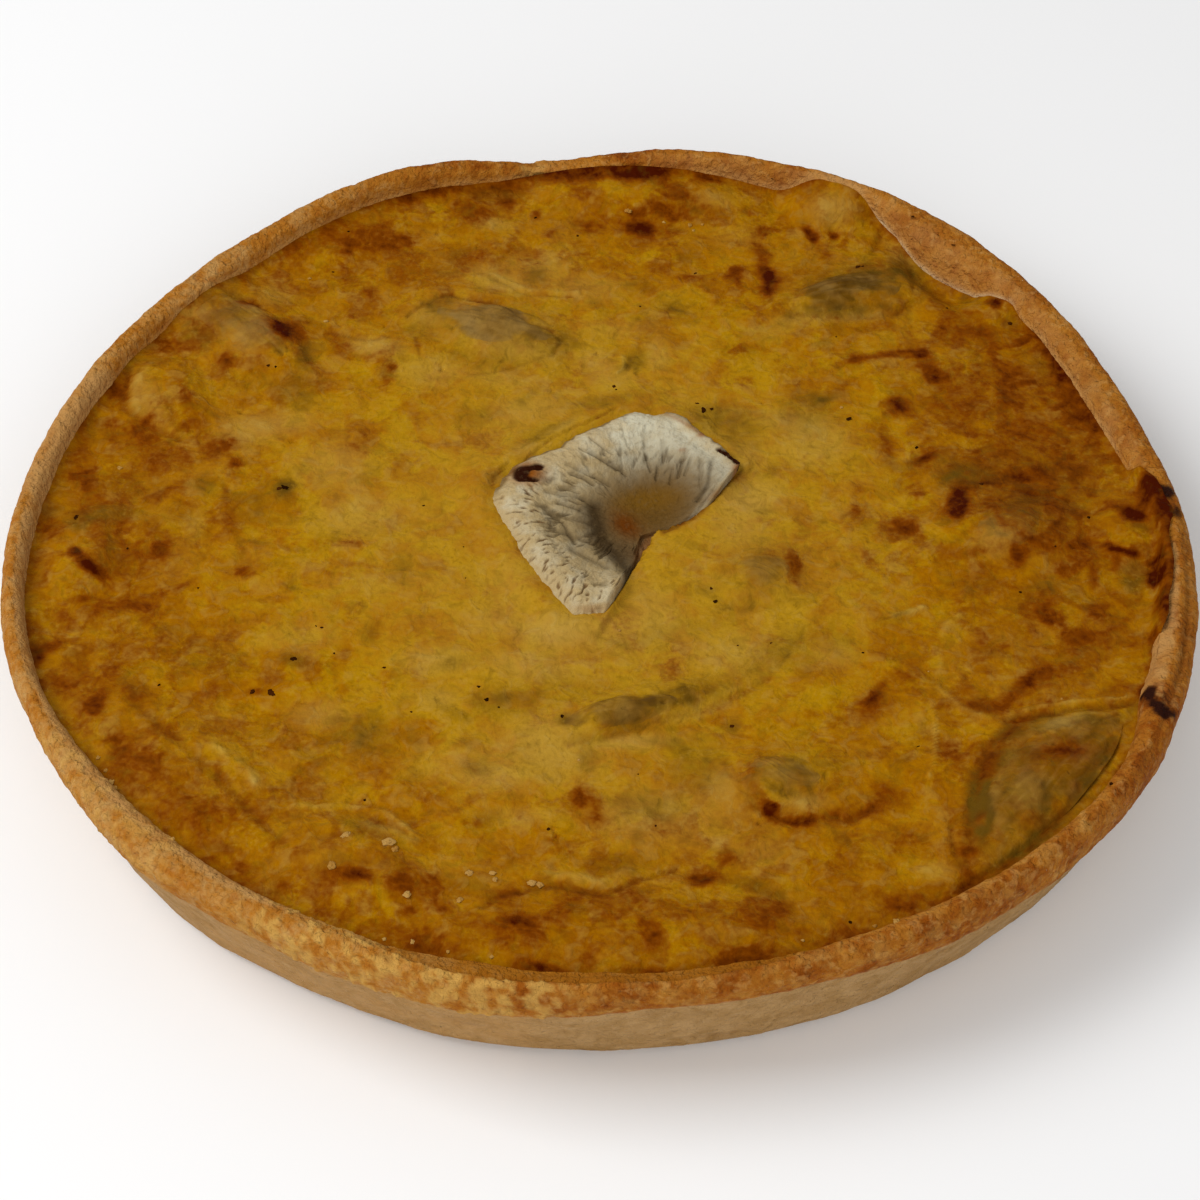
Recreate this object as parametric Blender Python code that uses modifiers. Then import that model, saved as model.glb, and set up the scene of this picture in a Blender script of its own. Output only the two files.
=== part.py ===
"""An open artichoke pie: a shortcrust case, its baked filling, and the artichoke that shows in it.

The pie stands on z = 0, its axis is +Z and its front is at -Y.  Named sizes are in millimetres and
named angles in degrees, anticlockwise from +X.  Every body is turned from a plain section and then
pressed out of round by functions of its azimuth, as the hand-pressed case and the uneven filling are.
"""

from collections import namedtuple

import bpy
import numpy as np

MM = 0.001
GAP = 0.3                  # free space between neighbouring pieces
MIDDLE = (-0.56, -0.35)    # middle of the pressed case's box, which becomes the origin

# The case: a flat floor, a leaning wall and a browned lip that stands a little proud of the wall
SIDES = 96                 # flats round the case and round the filling
RIM_RADIUS = 119.0
RIM_HEIGHT = 29.8
OVAL = 1.0                 # the rim is this much wider at its sides, and narrower at front and back
FLOOR = 4.0
WALL = 4.0
LIP_DEPTH = 7.2
LIP_PROUD = 1.2
TAPER = 6.4                # the wall leans in by this much from under the lip down to the base
BASE_ROUND = 2.6
BASE_SHARE = 0.6           # the base follows the rim's waves by this share
FOLD_FROM = 13.0           # the folds' extra thickness starts at this height

# The filling
LEVEL = 24.9               # where it meets the case
CROWN = 0.9                # how much higher its middle is
EDGE_GAP = 0.6             # free space between its top edge and the case
RIM_CLEAR = 1.0            # it stays this far under the rim
TOP_RINGS = (0.0, 0.1, 0.2, 0.3, 0.39, 0.48, 0.56, 0.64, 0.71, 0.78, 0.84, 0.9, 0.95, 1.0)
INNER_HEIGHTS = (FLOOR, 6.0, 12.0, 18.0, LEVEL)     # rows of the face between filling and case

# The artichoke: rings of a piece's top and underside, as parts of its reach, and its flats around
LEAF_RINGS = (0.0, 0.45, 0.78, 1.0)
LEAF_UNDERSIDE = (0.74, 0.0)
LEAF_SIDES = 24
HEART_RINGS = (0.0, 0.2, 0.4, 0.58, 0.72, 0.84, 0.93, 1.0)
HEART_UNDERSIDE = (0.9, 0.0)
HEART_SIDES = 44
BOTTOM, TOP, LID = -1.0, 1.0, 2.0     # layers of a plain section
SUNK = 0.7                 # a piece's edge lies this far under the filling's surface
WALL_CLEAR = 2.5           # filling left between a piece and the case
WOBBLE = 0.05              # unevenness of a piece's outline
POCKET_RISE = 9.0          # how far a pocket's cutter stands above the filling

Wave = namedtuple("Wave", "at width out up thick")
# Waves of the pressed edge: outwards, upwards and in thickness, each a bell round one azimuth
WAVES = (
    Wave(at=18, width=12, out=-3.0, up=-0.4, thick=3.0),      # thick pale fold at the right
    Wave(at=45, width=9, out=0.0, up=0.0, thick=1.6),
    Wave(at=57, width=10, out=1.6, up=1.2, thick=0.0),
    Wave(at=61, width=6, out=0.0, up=0.0, thick=-2.0),        # the blister lies against this stretch
    Wave(at=77, width=9, out=0.4, up=1.6, thick=0.0),
    Wave(at=96, width=6, out=-1.2, up=-1.8, thick=0.0),       # crumbled notch at the back
    Wave(at=114, width=9, out=0.8, up=1.7, thick=0.0),
    Wave(at=135, width=12, out=0.0, up=0.0, thick=1.2),
    Wave(at=147, width=16, out=-1.6, up=0.0, thick=0.0),
    Wave(at=168, width=4, out=0.0, up=-0.7, thick=0.0),
    Wave(at=198, width=12, out=2.2, up=0.0, thick=-0.8),
    Wave(at=225, width=10, out=3.4, up=0.0, thick=0.0),
    Wave(at=256, width=8, out=1.4, up=0.3, thick=2.2),        # thick crumbly stretch at the front
    Wave(at=300, width=14, out=1.2, up=0.0, thick=0.0),
    Wave(at=315, width=8, out=0.0, up=0.0, thick=-0.8),
    Wave(at=329, width=13, out=3.6, up=0.0, thick=0.0),
    Wave(at=336, width=3, out=-0.4, up=0.4, thick=1.0),       # burnt drip on the rim
    Wave(at=345, width=8, out=0.0, up=0.0, thick=3.0),        # inner flap of the folded edge
)

Lump = namedtuple("Lump", "x y length width turn rise")
# Lumps and hollows of the filling's top: half length and half width, turned from +X
LUMPS = (
    Lump(x=52, y=103, length=9, width=9.5, turn=60, rise=5.2),      # pale blister that laps the rim
    Lump(x=77, y=79, length=14, width=7, turn=-45, rise=-3.2),      # low corner beside the blister
    Lump(x=86, y=70, length=7, width=5, turn=0, rise=2.6),
    Lump(x=54, y=74, length=18, width=8, turn=20, rise=1.4),        # over the back right piece
    Lump(x=-26, y=65, length=19, width=9, turn=-20, rise=1.4),      # over the back left piece
    Lump(x=-78, y=62, length=19, width=12, turn=-42, rise=2.6),     # ridge over the left piece
    Lump(x=-92, y=42, length=12, width=8, turn=-60, rise=2.4),      # pale bulge at the left
    Lump(x=-42, y=54, length=8, width=6, turn=0, rise=1.0),
    Lump(x=81, y=0, length=14, width=10, turn=0, rise=1.6),
    Lump(x=86, y=-64, length=25, width=15, turn=47, rise=1.8),      # over the front right piece
    Lump(x=6, y=-48, length=17, width=6, turn=18, rise=1.6),
    Lump(x=32, y=-10, length=9, width=8, turn=0, rise=1.2),
    Lump(x=34, y=-65, length=12, width=8, turn=8, rise=1.8),
    Lump(x=-46, y=-86, length=15, width=9, turn=-30, rise=2.2),
    Lump(x=-80, y=-63, length=30, width=11, turn=-45, rise=1.8),
    Lump(x=0, y=-103, length=36, width=10, turn=0, rise=2.2),       # slab along the front rim
    Lump(x=-50, y=97, length=25, width=9, turn=27, rise=1.3),
    Lump(x=8, y=104, length=20, width=8, turn=-4, rise=0.9),
    Lump(x=-106, y=-5, length=12, width=7, turn=85, rise=1.8),
    Lump(x=108, y=4, length=11, width=6, turn=85, rise=2.0),        # boiled over and burnt
)

Leaf = namedtuple("Leaf", "x y length width turn power depth proud")
# Pieces of artichoke: half length and half width, turned from +X; power 2 is an oval, more is boxier
LEAVES = {
    "back_left": Leaf(x=-24, y=63, length=17, width=7.5, turn=-18, power=1.7, depth=6.0, proud=0.9),
    "back_right": Leaf(x=53, y=73, length=15, width=6.5, turn=18, power=2.2, depth=6.0, proud=1.2),
    "left": Leaf(x=-77, y=61, length=17, width=7.5, turn=-42, power=2.0, depth=7.0, proud=1.4),
    "right": Leaf(x=83, y=1, length=9, width=7, turn=35, power=2.0, depth=6.0, proud=0.9),
    "front_right": Leaf(x=87, y=-64, length=24, width=10.5, turn=48, power=2.3, depth=8.0, proud=1.3),
    "front": Leaf(x=4, y=-49, length=14, width=4.4, turn=14, power=1.8, depth=5.5, proud=1.1),
    "centre_right": Leaf(x=32.5, y=-11, length=7, width=5.5, turn=10, power=2.0, depth=5.5, proud=0.9),
    "front_centre": Leaf(x=34, y=-65.5, length=9, width=6, turn=8, power=2.2, depth=5.5, proud=1.2),
}

# The slice of heart: a cup of white flesh cut open towards the front right
HEART_MIDDLE = (8.0, 3.0)
HEART_DEPTH = 7.0          # underside below the filling's surface
HEART_CREST = 3.4          # the fleshy rim stands this far above the filling
CREST_AT, CREST_WIDTH = 0.84, 0.2     # the crest's place and spread, as parts of the reach
EDGE_DROP = 2.6            # from the crest's foot down to the outline
HEART_HOLLOW = 3.6         # the middle of the cup lies this far below the filling
OPEN_SIDE_SUNK = 0.9       # and its open side this far
FLESH_STARTS = (16.0, 38.0)           # azimuths over which the fleshy rim begins
FLESH_ENDS = (254.0, 272.0)           # and ends
# Its outline: azimuth and distance from HEART_MIDDLE, with corners at 35, 150 and 255 degrees
HEART_OUTLINE = (
    (0, 11.0), (18, 14.5), (29, 19.5), (36, 25.0), (48, 25.0), (63, 26.5), (80, 31.5), (92, 33.0),
    (106, 30.0), (130, 28.0), (150, 31.5), (168, 31.8), (184, 28.0), (205, 26.0), (225, 27.0),
    (243, 30.5), (254, 28.5), (262, 20.0), (272, 12.5), (300, 9.0), (335, 8.5),
)

# Colours of the pieces, as seen in daylight, with their roughness
FINISHES = {
    "crust": ((176, 122, 62), 0.75),
    "filling": ((180, 128, 30), 0.5),
    "heart": ((184, 170, 138), 0.55),
    "leaf": ((128, 96, 36), 0.5),
}


def smooth_step(value, low, high):
    """0 below low, 1 above high, and a smooth ramp between them."""
    part = np.clip((value - low) / (high - low), 0.0, 1.0)
    return part * part * (3.0 - 2.0 * part)


def edge_wave(azimuth, kind):
    """Sum of the pressed edge's waves of one kind at each azimuth."""
    total = np.zeros_like(azimuth)
    for wave in WAVES:
        away = (np.degrees(azimuth) - wave.at + 180.0) % 360.0 - 180.0
        total += getattr(wave, kind) * np.exp(-0.5 * (away / wave.width) ** 2)
    return total


def rim_growth(azimuth, height):
    """How far the wall stands out of its plain circle: fully at the lip, less towards the base."""
    growth = OVAL * np.cos(2.0 * azimuth) + edge_wave(azimuth, "out")
    return growth * (BASE_SHARE + (1.0 - BASE_SHARE) * np.clip(height / RIM_HEIGHT, 0.0, 1.0))


def plain_wall(height):
    """Outer radius of the plain wall under the lip."""
    lip_foot = RIM_HEIGHT - LIP_DEPTH
    return RIM_RADIUS - LIP_PROUD - TAPER * np.clip(1.0 - height / lip_foot, 0.0, 1.0)


def added_thickness(azimuth, height):
    """Thickness that the folded edge adds on the inside, from half height upwards."""
    return edge_wave(azimuth, "thick") * smooth_step(height, FOLD_FROM, LEVEL)


def inner_radius(azimuth):
    """Radius of the case's inner face where the filling meets it."""
    plain = plain_wall(LEVEL) - WALL
    return plain + rim_growth(azimuth, LEVEL) - added_thickness(azimuth, LEVEL)


def rim_top(azimuth):
    """Height of the rim."""
    return RIM_HEIGHT + edge_wave(azimuth, "up")


def filling_top(x, y):
    """Height of the filling's surface: a low crown with the named lumps on it, always under the rim."""
    height = LEVEL + CROWN * (1.0 - (np.hypot(x, y) / RIM_RADIUS) ** 2)
    for lump in LUMPS:
        turn = np.radians(lump.turn)
        along = ((x - lump.x) * np.cos(turn) + (y - lump.y) * np.sin(turn)) / lump.length
        across = ((y - lump.y) * np.cos(turn) - (x - lump.x) * np.sin(turn)) / lump.width
        height = height + lump.rise * np.exp(-(along ** 2 + across ** 2) ** 2)
    return np.minimum(height, rim_top(np.arctan2(y, x)) - RIM_CLEAR)


def contact_height(azimuth):
    """Height at which the filling meets the case."""
    radius = inner_radius(azimuth)
    return filling_top(radius * np.cos(azimuth), radius * np.sin(azimuth))


def press_wall(radius, azimuth, height):
    """Move points of the plain case to the pressed one.

    The radius changes with the edge's waves, and on the inner face with the folds' thickness.  The
    height stretches so that the rim follows its waves, and the inner face's row at LEVEL follows the
    filling's edge.
    """
    inside = np.clip((plain_wall(height) - radius) / WALL, 0.0, 1.0)
    pressed = radius * (1.0 + rim_growth(azimuth, height) / RIM_RADIUS)
    pressed = pressed - inside * added_thickness(azimuth, height)
    contact = contact_height(azimuth)
    top = rim_top(azimuth)
    below = FLOOR + (height - FLOOR) * (contact - FLOOR) / (LEVEL - FLOOR)
    above = contact + (height - LEVEL) * (top - contact) / (RIM_HEIGHT - LEVEL)
    inner = np.where(height > LEVEL, above, np.where(height > FLOOR, below, height))
    outer = height * top / RIM_HEIGHT
    return pressed, (1.0 - inside) * outer + inside * inner


def case_section():
    """Plain section of the case, from the middle of its floor over the rim to the middle of its base."""
    inner_rows = [(plain_wall(height) - WALL, height) for height in INNER_HEIGHTS]
    lip_foot = RIM_HEIGHT - LIP_DEPTH
    lip = [
        (RIM_RADIUS - WALL - 0.6, RIM_HEIGHT - 1.6),
        (RIM_RADIUS - WALL + 0.4, RIM_HEIGHT - 0.4),
        (RIM_RADIUS - 0.5 * WALL, RIM_HEIGHT),
        (RIM_RADIUS - 0.9, RIM_HEIGHT - 0.7),
        (RIM_RADIUS, RIM_HEIGHT - 2.6),
        (RIM_RADIUS, RIM_HEIGHT - 5.0),
        (RIM_RADIUS - 0.5, lip_foot + 0.3),
        (plain_wall(lip_foot) - 0.2, lip_foot - 0.9),
    ]
    wall = [(plain_wall(height), height) for height in (15.0, 8.0, BASE_ROUND)]
    base_radius = plain_wall(0.0)
    base = [(base_radius - 0.5, 0.8), (base_radius - 2.0, 0.0), (0.6 * base_radius, 0.0), (0.0, 0.0)]
    return [(0.0, FLOOR), (0.6 * base_radius, FLOOR)] + inner_rows + lip + wall + base


def filling_section():
    """Plain section of the filling: its top's rings, then its side down to the case's floor."""
    edge = plain_wall(LEVEL) - WALL
    top = [(part * edge, LEVEL) for part in TOP_RINGS]
    side = [(plain_wall(height) - WALL - GAP, height) for height in reversed(INNER_HEIGHTS[1:-1])]
    corner = plain_wall(FLOOR) - WALL - GAP
    bottom = [(corner, FLOOR + GAP), (0.6 * corner, FLOOR + GAP), (0.0, FLOOR + GAP)]
    return top + side + bottom


def shape_case(radius, azimuth, height):
    """The pressed case."""
    pressed, lifted = press_wall(radius, azimuth, height)
    return pressed * np.cos(azimuth), pressed * np.sin(azimuth), lifted


def shape_filling(radius, azimuth, height):
    """The filling: its top follows filling_top out to the case, and its side follows the case's wall."""
    edge = plain_wall(LEVEL) - WALL
    on_top = height > LEVEL - 0.01
    wall_radius, wall_height = press_wall(radius, azimuth, height)
    top_radius = radius / edge * (inner_radius(azimuth) - EDGE_GAP)
    new_radius = np.where(on_top, top_radius, wall_radius)
    x = new_radius * np.cos(azimuth)
    y = new_radius * np.sin(azimuth)
    return x, y, np.where(on_top, filling_top(x, y), wall_height)


def leaf_reach(azimuth, leaf):
    """Distance from a piece's middle to its outline: a rounded diamond or box with a slight wobble."""
    turned = azimuth - np.radians(leaf.turn)
    along = np.abs(np.cos(turned) / leaf.length) ** leaf.power
    across = np.abs(np.sin(turned) / leaf.width) ** leaf.power
    wobble = 1.0 + WOBBLE * (np.sin(3.0 * turned + leaf.x) + 0.6 * np.sin(5.0 * turned + leaf.y))
    return wobble * (along + across) ** (-1.0 / leaf.power)


def heart_reach(azimuth):
    """Distance from the heart's middle to its outline, eased between the named corners."""
    angles = np.array([point[0] for point in HEART_OUTLINE], float)
    reaches = np.array([point[1] for point in HEART_OUTLINE], float)
    return np.interp(np.degrees(azimuth) % 360.0, angles, reaches, period=360.0)


def keep_off_wall(x, y, clear):
    """Pull points that would cross the case's wall straight back towards the pie's middle."""
    azimuth = np.arctan2(y, x)
    limit = inner_radius(azimuth) - clear
    scale = np.minimum(1.0, limit / np.maximum(np.hypot(x, y), 0.001))
    return x * scale, y * scale


def leaf_shape(leaf, grow=0.0):
    """The function that presses a turned button into one piece, or with grow into its pocket's cutter."""
    def shape(part, azimuth, layer):
        reach = part * (leaf_reach(azimuth, leaf) + grow)
        x, y = keep_off_wall(leaf.x + reach * np.cos(azimuth), leaf.y + reach * np.sin(azimuth),
                             WALL_CLEAR - grow)
        crown = leaf.proud - (leaf.proud + SUNK) * part ** 2.4
        bottom = filling_top(leaf.x, leaf.y) - leaf.depth - grow
        top = filling_top(x, y) + np.where(layer > TOP, POCKET_RISE, crown)
        return x, y, np.where(layer < TOP, bottom, top)
    return shape


def heart_top(part, azimuth):
    """Height of the heart's cup over the filling: a fleshy crest on three sides round a sunk hollow."""
    degrees = np.degrees(azimuth) % 360.0
    flesh = smooth_step(degrees, *FLESH_STARTS) * (1.0 - smooth_step(degrees, *FLESH_ENDS))
    crest = HEART_CREST * np.exp(-((part - CREST_AT) / CREST_WIDTH) ** 2)
    crest = crest - EDGE_DROP * smooth_step(part, 0.9, 1.0)
    hollow = HEART_HOLLOW * (1.0 - smooth_step(part, 0.15, 0.75))
    return flesh * crest - (1.0 - flesh) * OPEN_SIDE_SUNK - hollow


def heart_shape(grow=0.0):
    """The function that presses a turned button into the heart, or with grow into its pocket's cutter."""
    def shape(part, azimuth, layer):
        reach = part * (heart_reach(azimuth) + grow)
        x = HEART_MIDDLE[0] + reach * np.cos(azimuth)
        y = HEART_MIDDLE[1] + reach * np.sin(azimuth)
        bottom = filling_top(*HEART_MIDDLE) - HEART_DEPTH - grow
        top = filling_top(x, y) + np.where(layer > TOP, POCKET_RISE, heart_top(part, azimuth))
        return x, y, np.where(layer < TOP, bottom, top)
    return shape


def turned(name, section, sides, shape, collection):
    """Turn a section about +Z with a Screw, then let shape(radius, azimuth, height) place every point."""
    profile_mesh = bpy.data.meshes.new(name + "_section")
    points = [(radius, 0.0, height) for radius, height in section]
    profile_mesh.from_pydata(points, [(index, index + 1) for index in range(len(points) - 1)], [])
    profile = bpy.data.objects.new(name + "_section", profile_mesh)
    bpy.context.scene.collection.objects.link(profile)
    screw = profile.modifiers.new("turn", "SCREW")
    screw.steps = screw.render_steps = sides
    screw.use_merge_vertices = True
    screw.merge_threshold = 0.0001
    depsgraph = bpy.context.evaluated_depsgraph_get()
    mesh = bpy.data.meshes.new_from_object(profile.evaluated_get(depsgraph))
    bpy.data.objects.remove(profile)
    bpy.data.meshes.remove(profile_mesh)

    flat = np.empty(len(mesh.vertices) * 3)
    mesh.vertices.foreach_get("co", flat)
    turned_points = flat.reshape(-1, 3)
    radius = np.hypot(turned_points[:, 0], turned_points[:, 1])
    azimuth = np.arctan2(turned_points[:, 1], turned_points[:, 0])
    placed = (np.stack(shape(radius, azimuth, turned_points[:, 2]), axis=1) - (*MIDDLE, 0.0)) * MM
    mesh.vertices.foreach_set("co", placed.ravel())
    mesh.update()
    mesh.shade_smooth()
    mesh.name = name
    body = bpy.data.objects.new(name, mesh)
    collection.objects.link(body)
    return body


def button_section(rings, underside):
    """Plain section of a piece: the rings of its top and of its underside, as parts of its reach."""
    return [(part, TOP) for part in rings] + [(part, BOTTOM) for part in underside]


def pocket_section(underside):
    """Plain section of a pocket's cutter: a lid over the piece's widest ring and its underside."""
    return [(0.0, LID), (1.0, LID), (1.0, TOP)] + [(part, BOTTOM) for part in underside]


def finish(name):
    """A plain material of the named colour and roughness."""
    colour, roughness = FINISHES[name]
    material = bpy.data.materials.new(name)
    material.use_nodes = True
    shader = material.node_tree.nodes["Principled BSDF"]
    linear = [(channel / 255.0) ** 2.2 for channel in colour]
    shader.inputs["Base Color"].default_value = (*linear, 1.0)
    shader.inputs["Roughness"].default_value = roughness
    shader.inputs["Metallic"].default_value = 0.0
    return material


def new_collection(name):
    """A collection linked to the scene."""
    collection = bpy.data.collections.new(name)
    bpy.context.scene.collection.children.link(collection)
    return collection


def build():
    """Make the case, the filling and the artichoke, and cut the artichoke's pockets into the filling."""
    for old in list(bpy.data.objects):
        bpy.data.objects.remove(old)
    pie = new_collection("artichoke_pie")
    pockets = new_collection("pockets")

    crust = turned("crust", case_section(), SIDES, shape_case, pie)
    crust.data.materials.append(finish("crust"))
    filling = turned("filling", filling_section(), SIDES, shape_filling, pie)
    filling.data.materials.append(finish("filling"))

    leaf_finish = finish("leaf")
    leaf_section = button_section(LEAF_RINGS, LEAF_UNDERSIDE)
    leaf_pocket = pocket_section(LEAF_UNDERSIDE)
    for place, leaf in LEAVES.items():
        name = "artichoke_" + place
        piece = turned(name, leaf_section, LEAF_SIDES, leaf_shape(leaf), pie)
        piece.data.materials.append(leaf_finish)
        turned(name + "_pocket", leaf_pocket, LEAF_SIDES, leaf_shape(leaf, GAP), pockets)

    heart_section = button_section(HEART_RINGS, HEART_UNDERSIDE)
    heart_pocket = pocket_section(HEART_UNDERSIDE)
    heart = turned("artichoke_heart", heart_section, HEART_SIDES, heart_shape(), pie)
    heart.data.materials.append(finish("heart"))
    turned("artichoke_heart_pocket", heart_pocket, HEART_SIDES, heart_shape(GAP), pockets)

    for cutter in pockets.objects:
        cutter.hide_render = True
        cutter.display_type = "WIRE"
        cut = filling.modifiers.new(cutter.name, "BOOLEAN")
        cut.operation = "DIFFERENCE"
        cut.object = cutter


build()
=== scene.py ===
"""Looks of an open artichoke pie: crumbly case, baked custard, cup of artichoke heart and leaves.

The pie stands on z = 0 with its front at -Y.  Shapes are worked out in millimetres and degrees, with
azimuths anticlockwise from +X, in the case's own turning frame.  Points become metres, measured from
MIDDLE, as they go into a mesh.
"""

from collections import namedtuple
from itertools import product

import bpy
import numpy as np
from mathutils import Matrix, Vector


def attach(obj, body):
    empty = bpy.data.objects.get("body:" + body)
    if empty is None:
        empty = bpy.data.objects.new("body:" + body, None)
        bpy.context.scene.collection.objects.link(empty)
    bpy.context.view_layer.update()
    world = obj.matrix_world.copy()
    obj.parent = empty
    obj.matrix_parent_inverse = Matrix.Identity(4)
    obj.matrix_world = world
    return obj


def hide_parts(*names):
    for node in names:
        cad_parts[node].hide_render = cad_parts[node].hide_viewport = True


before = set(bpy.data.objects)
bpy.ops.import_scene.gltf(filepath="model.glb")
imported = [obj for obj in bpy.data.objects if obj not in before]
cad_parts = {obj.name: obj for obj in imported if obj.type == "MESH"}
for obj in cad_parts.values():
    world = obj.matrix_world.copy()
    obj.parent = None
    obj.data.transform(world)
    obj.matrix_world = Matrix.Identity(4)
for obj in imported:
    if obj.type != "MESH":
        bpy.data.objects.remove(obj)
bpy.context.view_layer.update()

MM = 0.001
MIDDLE = (-0.56, -0.35)    # middle of the pressed case's box, which is the frame's origin

# The case
RIM_RADIUS = 119.0
RIM_HEIGHT = 29.8
OVAL = 1.0                 # the rim is this much wider at its sides, and narrower at front and back
FLOOR = 4.0
WALL = 4.0
LIP_DEPTH = 7.2
LIP_FOOT = RIM_HEIGHT - LIP_DEPTH
LIP_PROUD = 1.2
TAPER = 6.4                # the wall leans in by this much from under the lip down to the base
BASE_ROUND = 2.6
BASE_SHARE = 0.6           # the base follows the rim's waves by this share
FOLD_FROM = 13.0           # the folds' extra thickness starts at this height
LIP_SAG = 2.6
LEDGE_SUNK = 0.8           # how far the custard-coated inner ledge in front lies under the lip's bead
CASE_SIDES = 1280

# The custard
LEVEL = 24.9               # where it meets the case
CROWN = 0.9                # how much higher its middle is
RIM_CLEAR = 1.0            # it stays this far under the rim
INTO_CASE = 0.5            # the custard's edge reaches this far into the case
UNDER_CUSTARD = 0.3        # gap between the custard's underside and the case's floor
CUSTARD_CELLS = 432        # cells of the whole disc's grid each way, half of them in each half
# Where the custard ran over the rim: azimuth, width of the bell in degrees, and how far past the edge
OVERFLOWS = ((3.0, 3.2, 3.4), (353.0, 3.6, 2.0), (347.0, 1.6, 1.2))

# The artichoke
SUNK = 0.7                 # a piece's edge lies this far under the filling's surface
WALL_CLEAR = 2.5           # filling left between a piece and the case
WOBBLE = 0.05              # unevenness of a piece's outline
LEAF_UNDERSIDE, HEART_UNDERSIDE = 0.74, 0.9      # reach of their undersides, as a share of the outline's
LEAF_SIDES, LEAF_ROWS = 300, 48
HEART_SIDES, HEART_ROWS = 800, 92

Wave = namedtuple("Wave", "at width out up thick")
# Waves of the pressed edge: outwards, upwards and in thickness, each a bell round one azimuth
WAVES = (
    Wave(at=18, width=12, out=-3.0, up=-0.4, thick=3.0),
    Wave(at=45, width=9, out=0.0, up=0.0, thick=1.6),
    Wave(at=50, width=5, out=0.0, up=0.0, thick=4.0),
    Wave(at=57, width=10, out=1.6, up=1.2, thick=0.0),
    Wave(at=61, width=6, out=0.0, up=0.0, thick=-2.0),
    Wave(at=77, width=9, out=0.4, up=1.6, thick=0.0),
    Wave(at=96, width=6, out=-1.2, up=-1.8, thick=0.0),
    Wave(at=114, width=9, out=0.8, up=1.7, thick=0.0),
    Wave(at=135, width=12, out=0.0, up=0.0, thick=1.2),
    Wave(at=147, width=16, out=-1.6, up=0.0, thick=0.0),
    Wave(at=168, width=4, out=0.0, up=-0.7, thick=0.0),
    Wave(at=198, width=12, out=2.2, up=0.0, thick=-0.8),
    Wave(at=225, width=10, out=3.4, up=0.0, thick=3.0),
    Wave(at=256, width=8, out=1.4, up=0.3, thick=1.4),
    Wave(at=300, width=14, out=1.2, up=0.0, thick=0.0),
    Wave(at=315, width=8, out=0.0, up=0.0, thick=-0.8),
    Wave(at=329, width=13, out=3.6, up=0.0, thick=0.0),
    Wave(at=336, width=3, out=-0.4, up=0.4, thick=1.0),
    Wave(at=345, width=8, out=0.0, up=0.0, thick=3.0),
)

Lump = namedtuple("Lump", "x y length width turn rise")
# Lumps and hollows of the custard: half length and half width, turned from +X
LUMPS = (
    Lump(x=52, y=103, length=9, width=9.5, turn=60, rise=5.2),
    Lump(x=77, y=79, length=14, width=7, turn=-45, rise=-3.2),
    Lump(x=86, y=70, length=7, width=5, turn=0, rise=2.6),
    Lump(x=54, y=74, length=18, width=8, turn=20, rise=1.4),
    Lump(x=-26, y=65, length=19, width=9, turn=-20, rise=1.4),
    Lump(x=-78, y=62, length=19, width=12, turn=-42, rise=2.6),
    Lump(x=-92, y=42, length=12, width=8, turn=-60, rise=2.4),
    Lump(x=-42, y=54, length=8, width=6, turn=0, rise=1.0),
    Lump(x=81, y=0, length=14, width=10, turn=0, rise=1.6),
    Lump(x=86, y=-64, length=25, width=15, turn=47, rise=1.8),
    Lump(x=6, y=-48, length=17, width=6, turn=18, rise=1.6),
    Lump(x=32, y=-10, length=9, width=8, turn=0, rise=1.2),
    Lump(x=34, y=-65, length=12, width=8, turn=8, rise=1.8),
    Lump(x=-46, y=-86, length=15, width=9, turn=-30, rise=2.2),
    Lump(x=-80, y=-63, length=30, width=11, turn=-45, rise=1.8),
    Lump(x=0, y=-103, length=36, width=10, turn=0, rise=2.2),
    Lump(x=-50, y=97, length=25, width=9, turn=27, rise=1.3),
    Lump(x=8, y=108, length=24, width=9, turn=-4, rise=3.0),
    Lump(x=-106, y=-5, length=12, width=7, turn=85, rise=1.8),
    Lump(x=108, y=4, length=11, width=6, turn=85, rise=2.0),
)

Leaf = namedtuple("Leaf", "x y length width turn power depth proud bare lilac")
# Pieces of leaf: half length and half width, power 2 is an oval and more is boxier; bare is how much
# of it shows clear of custard, and lilac how grey-violet it is
LEAVES = {
    "back_left": Leaf(-24, 63, 17, 7.5, -18, 1.7, 6.0, 0.9, bare=0.95, lilac=0.65),
    "back_right": Leaf(53, 73, 15, 6.5, 18, 2.2, 6.0, 1.2, bare=0.95, lilac=0.25),
    "left": Leaf(-77, 61, 17, 7.5, -42, 2.0, 7.0, 1.4, bare=0.6, lilac=0.45),
    "right": Leaf(83, 1, 9, 7, 35, 2.0, 6.0, 0.9, bare=0.5, lilac=0.35),
    "front_right": Leaf(87, -64, 24, 10.5, 48, 2.3, 8.0, 1.3, bare=0.65, lilac=0.0),
    "front": Leaf(4, -49, 14, 4.4, 14, 1.8, 5.5, 1.1, bare=0.8, lilac=0.0),
    "centre_right": Leaf(32.5, -11, 7, 5.5, 10, 2.0, 5.5, 0.9, bare=0.6, lilac=0.5),
    "front_centre": Leaf(34, -65.5, 9, 6, 8, 2.2, 5.5, 1.2, bare=0.6, lilac=0.4),
}

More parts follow.
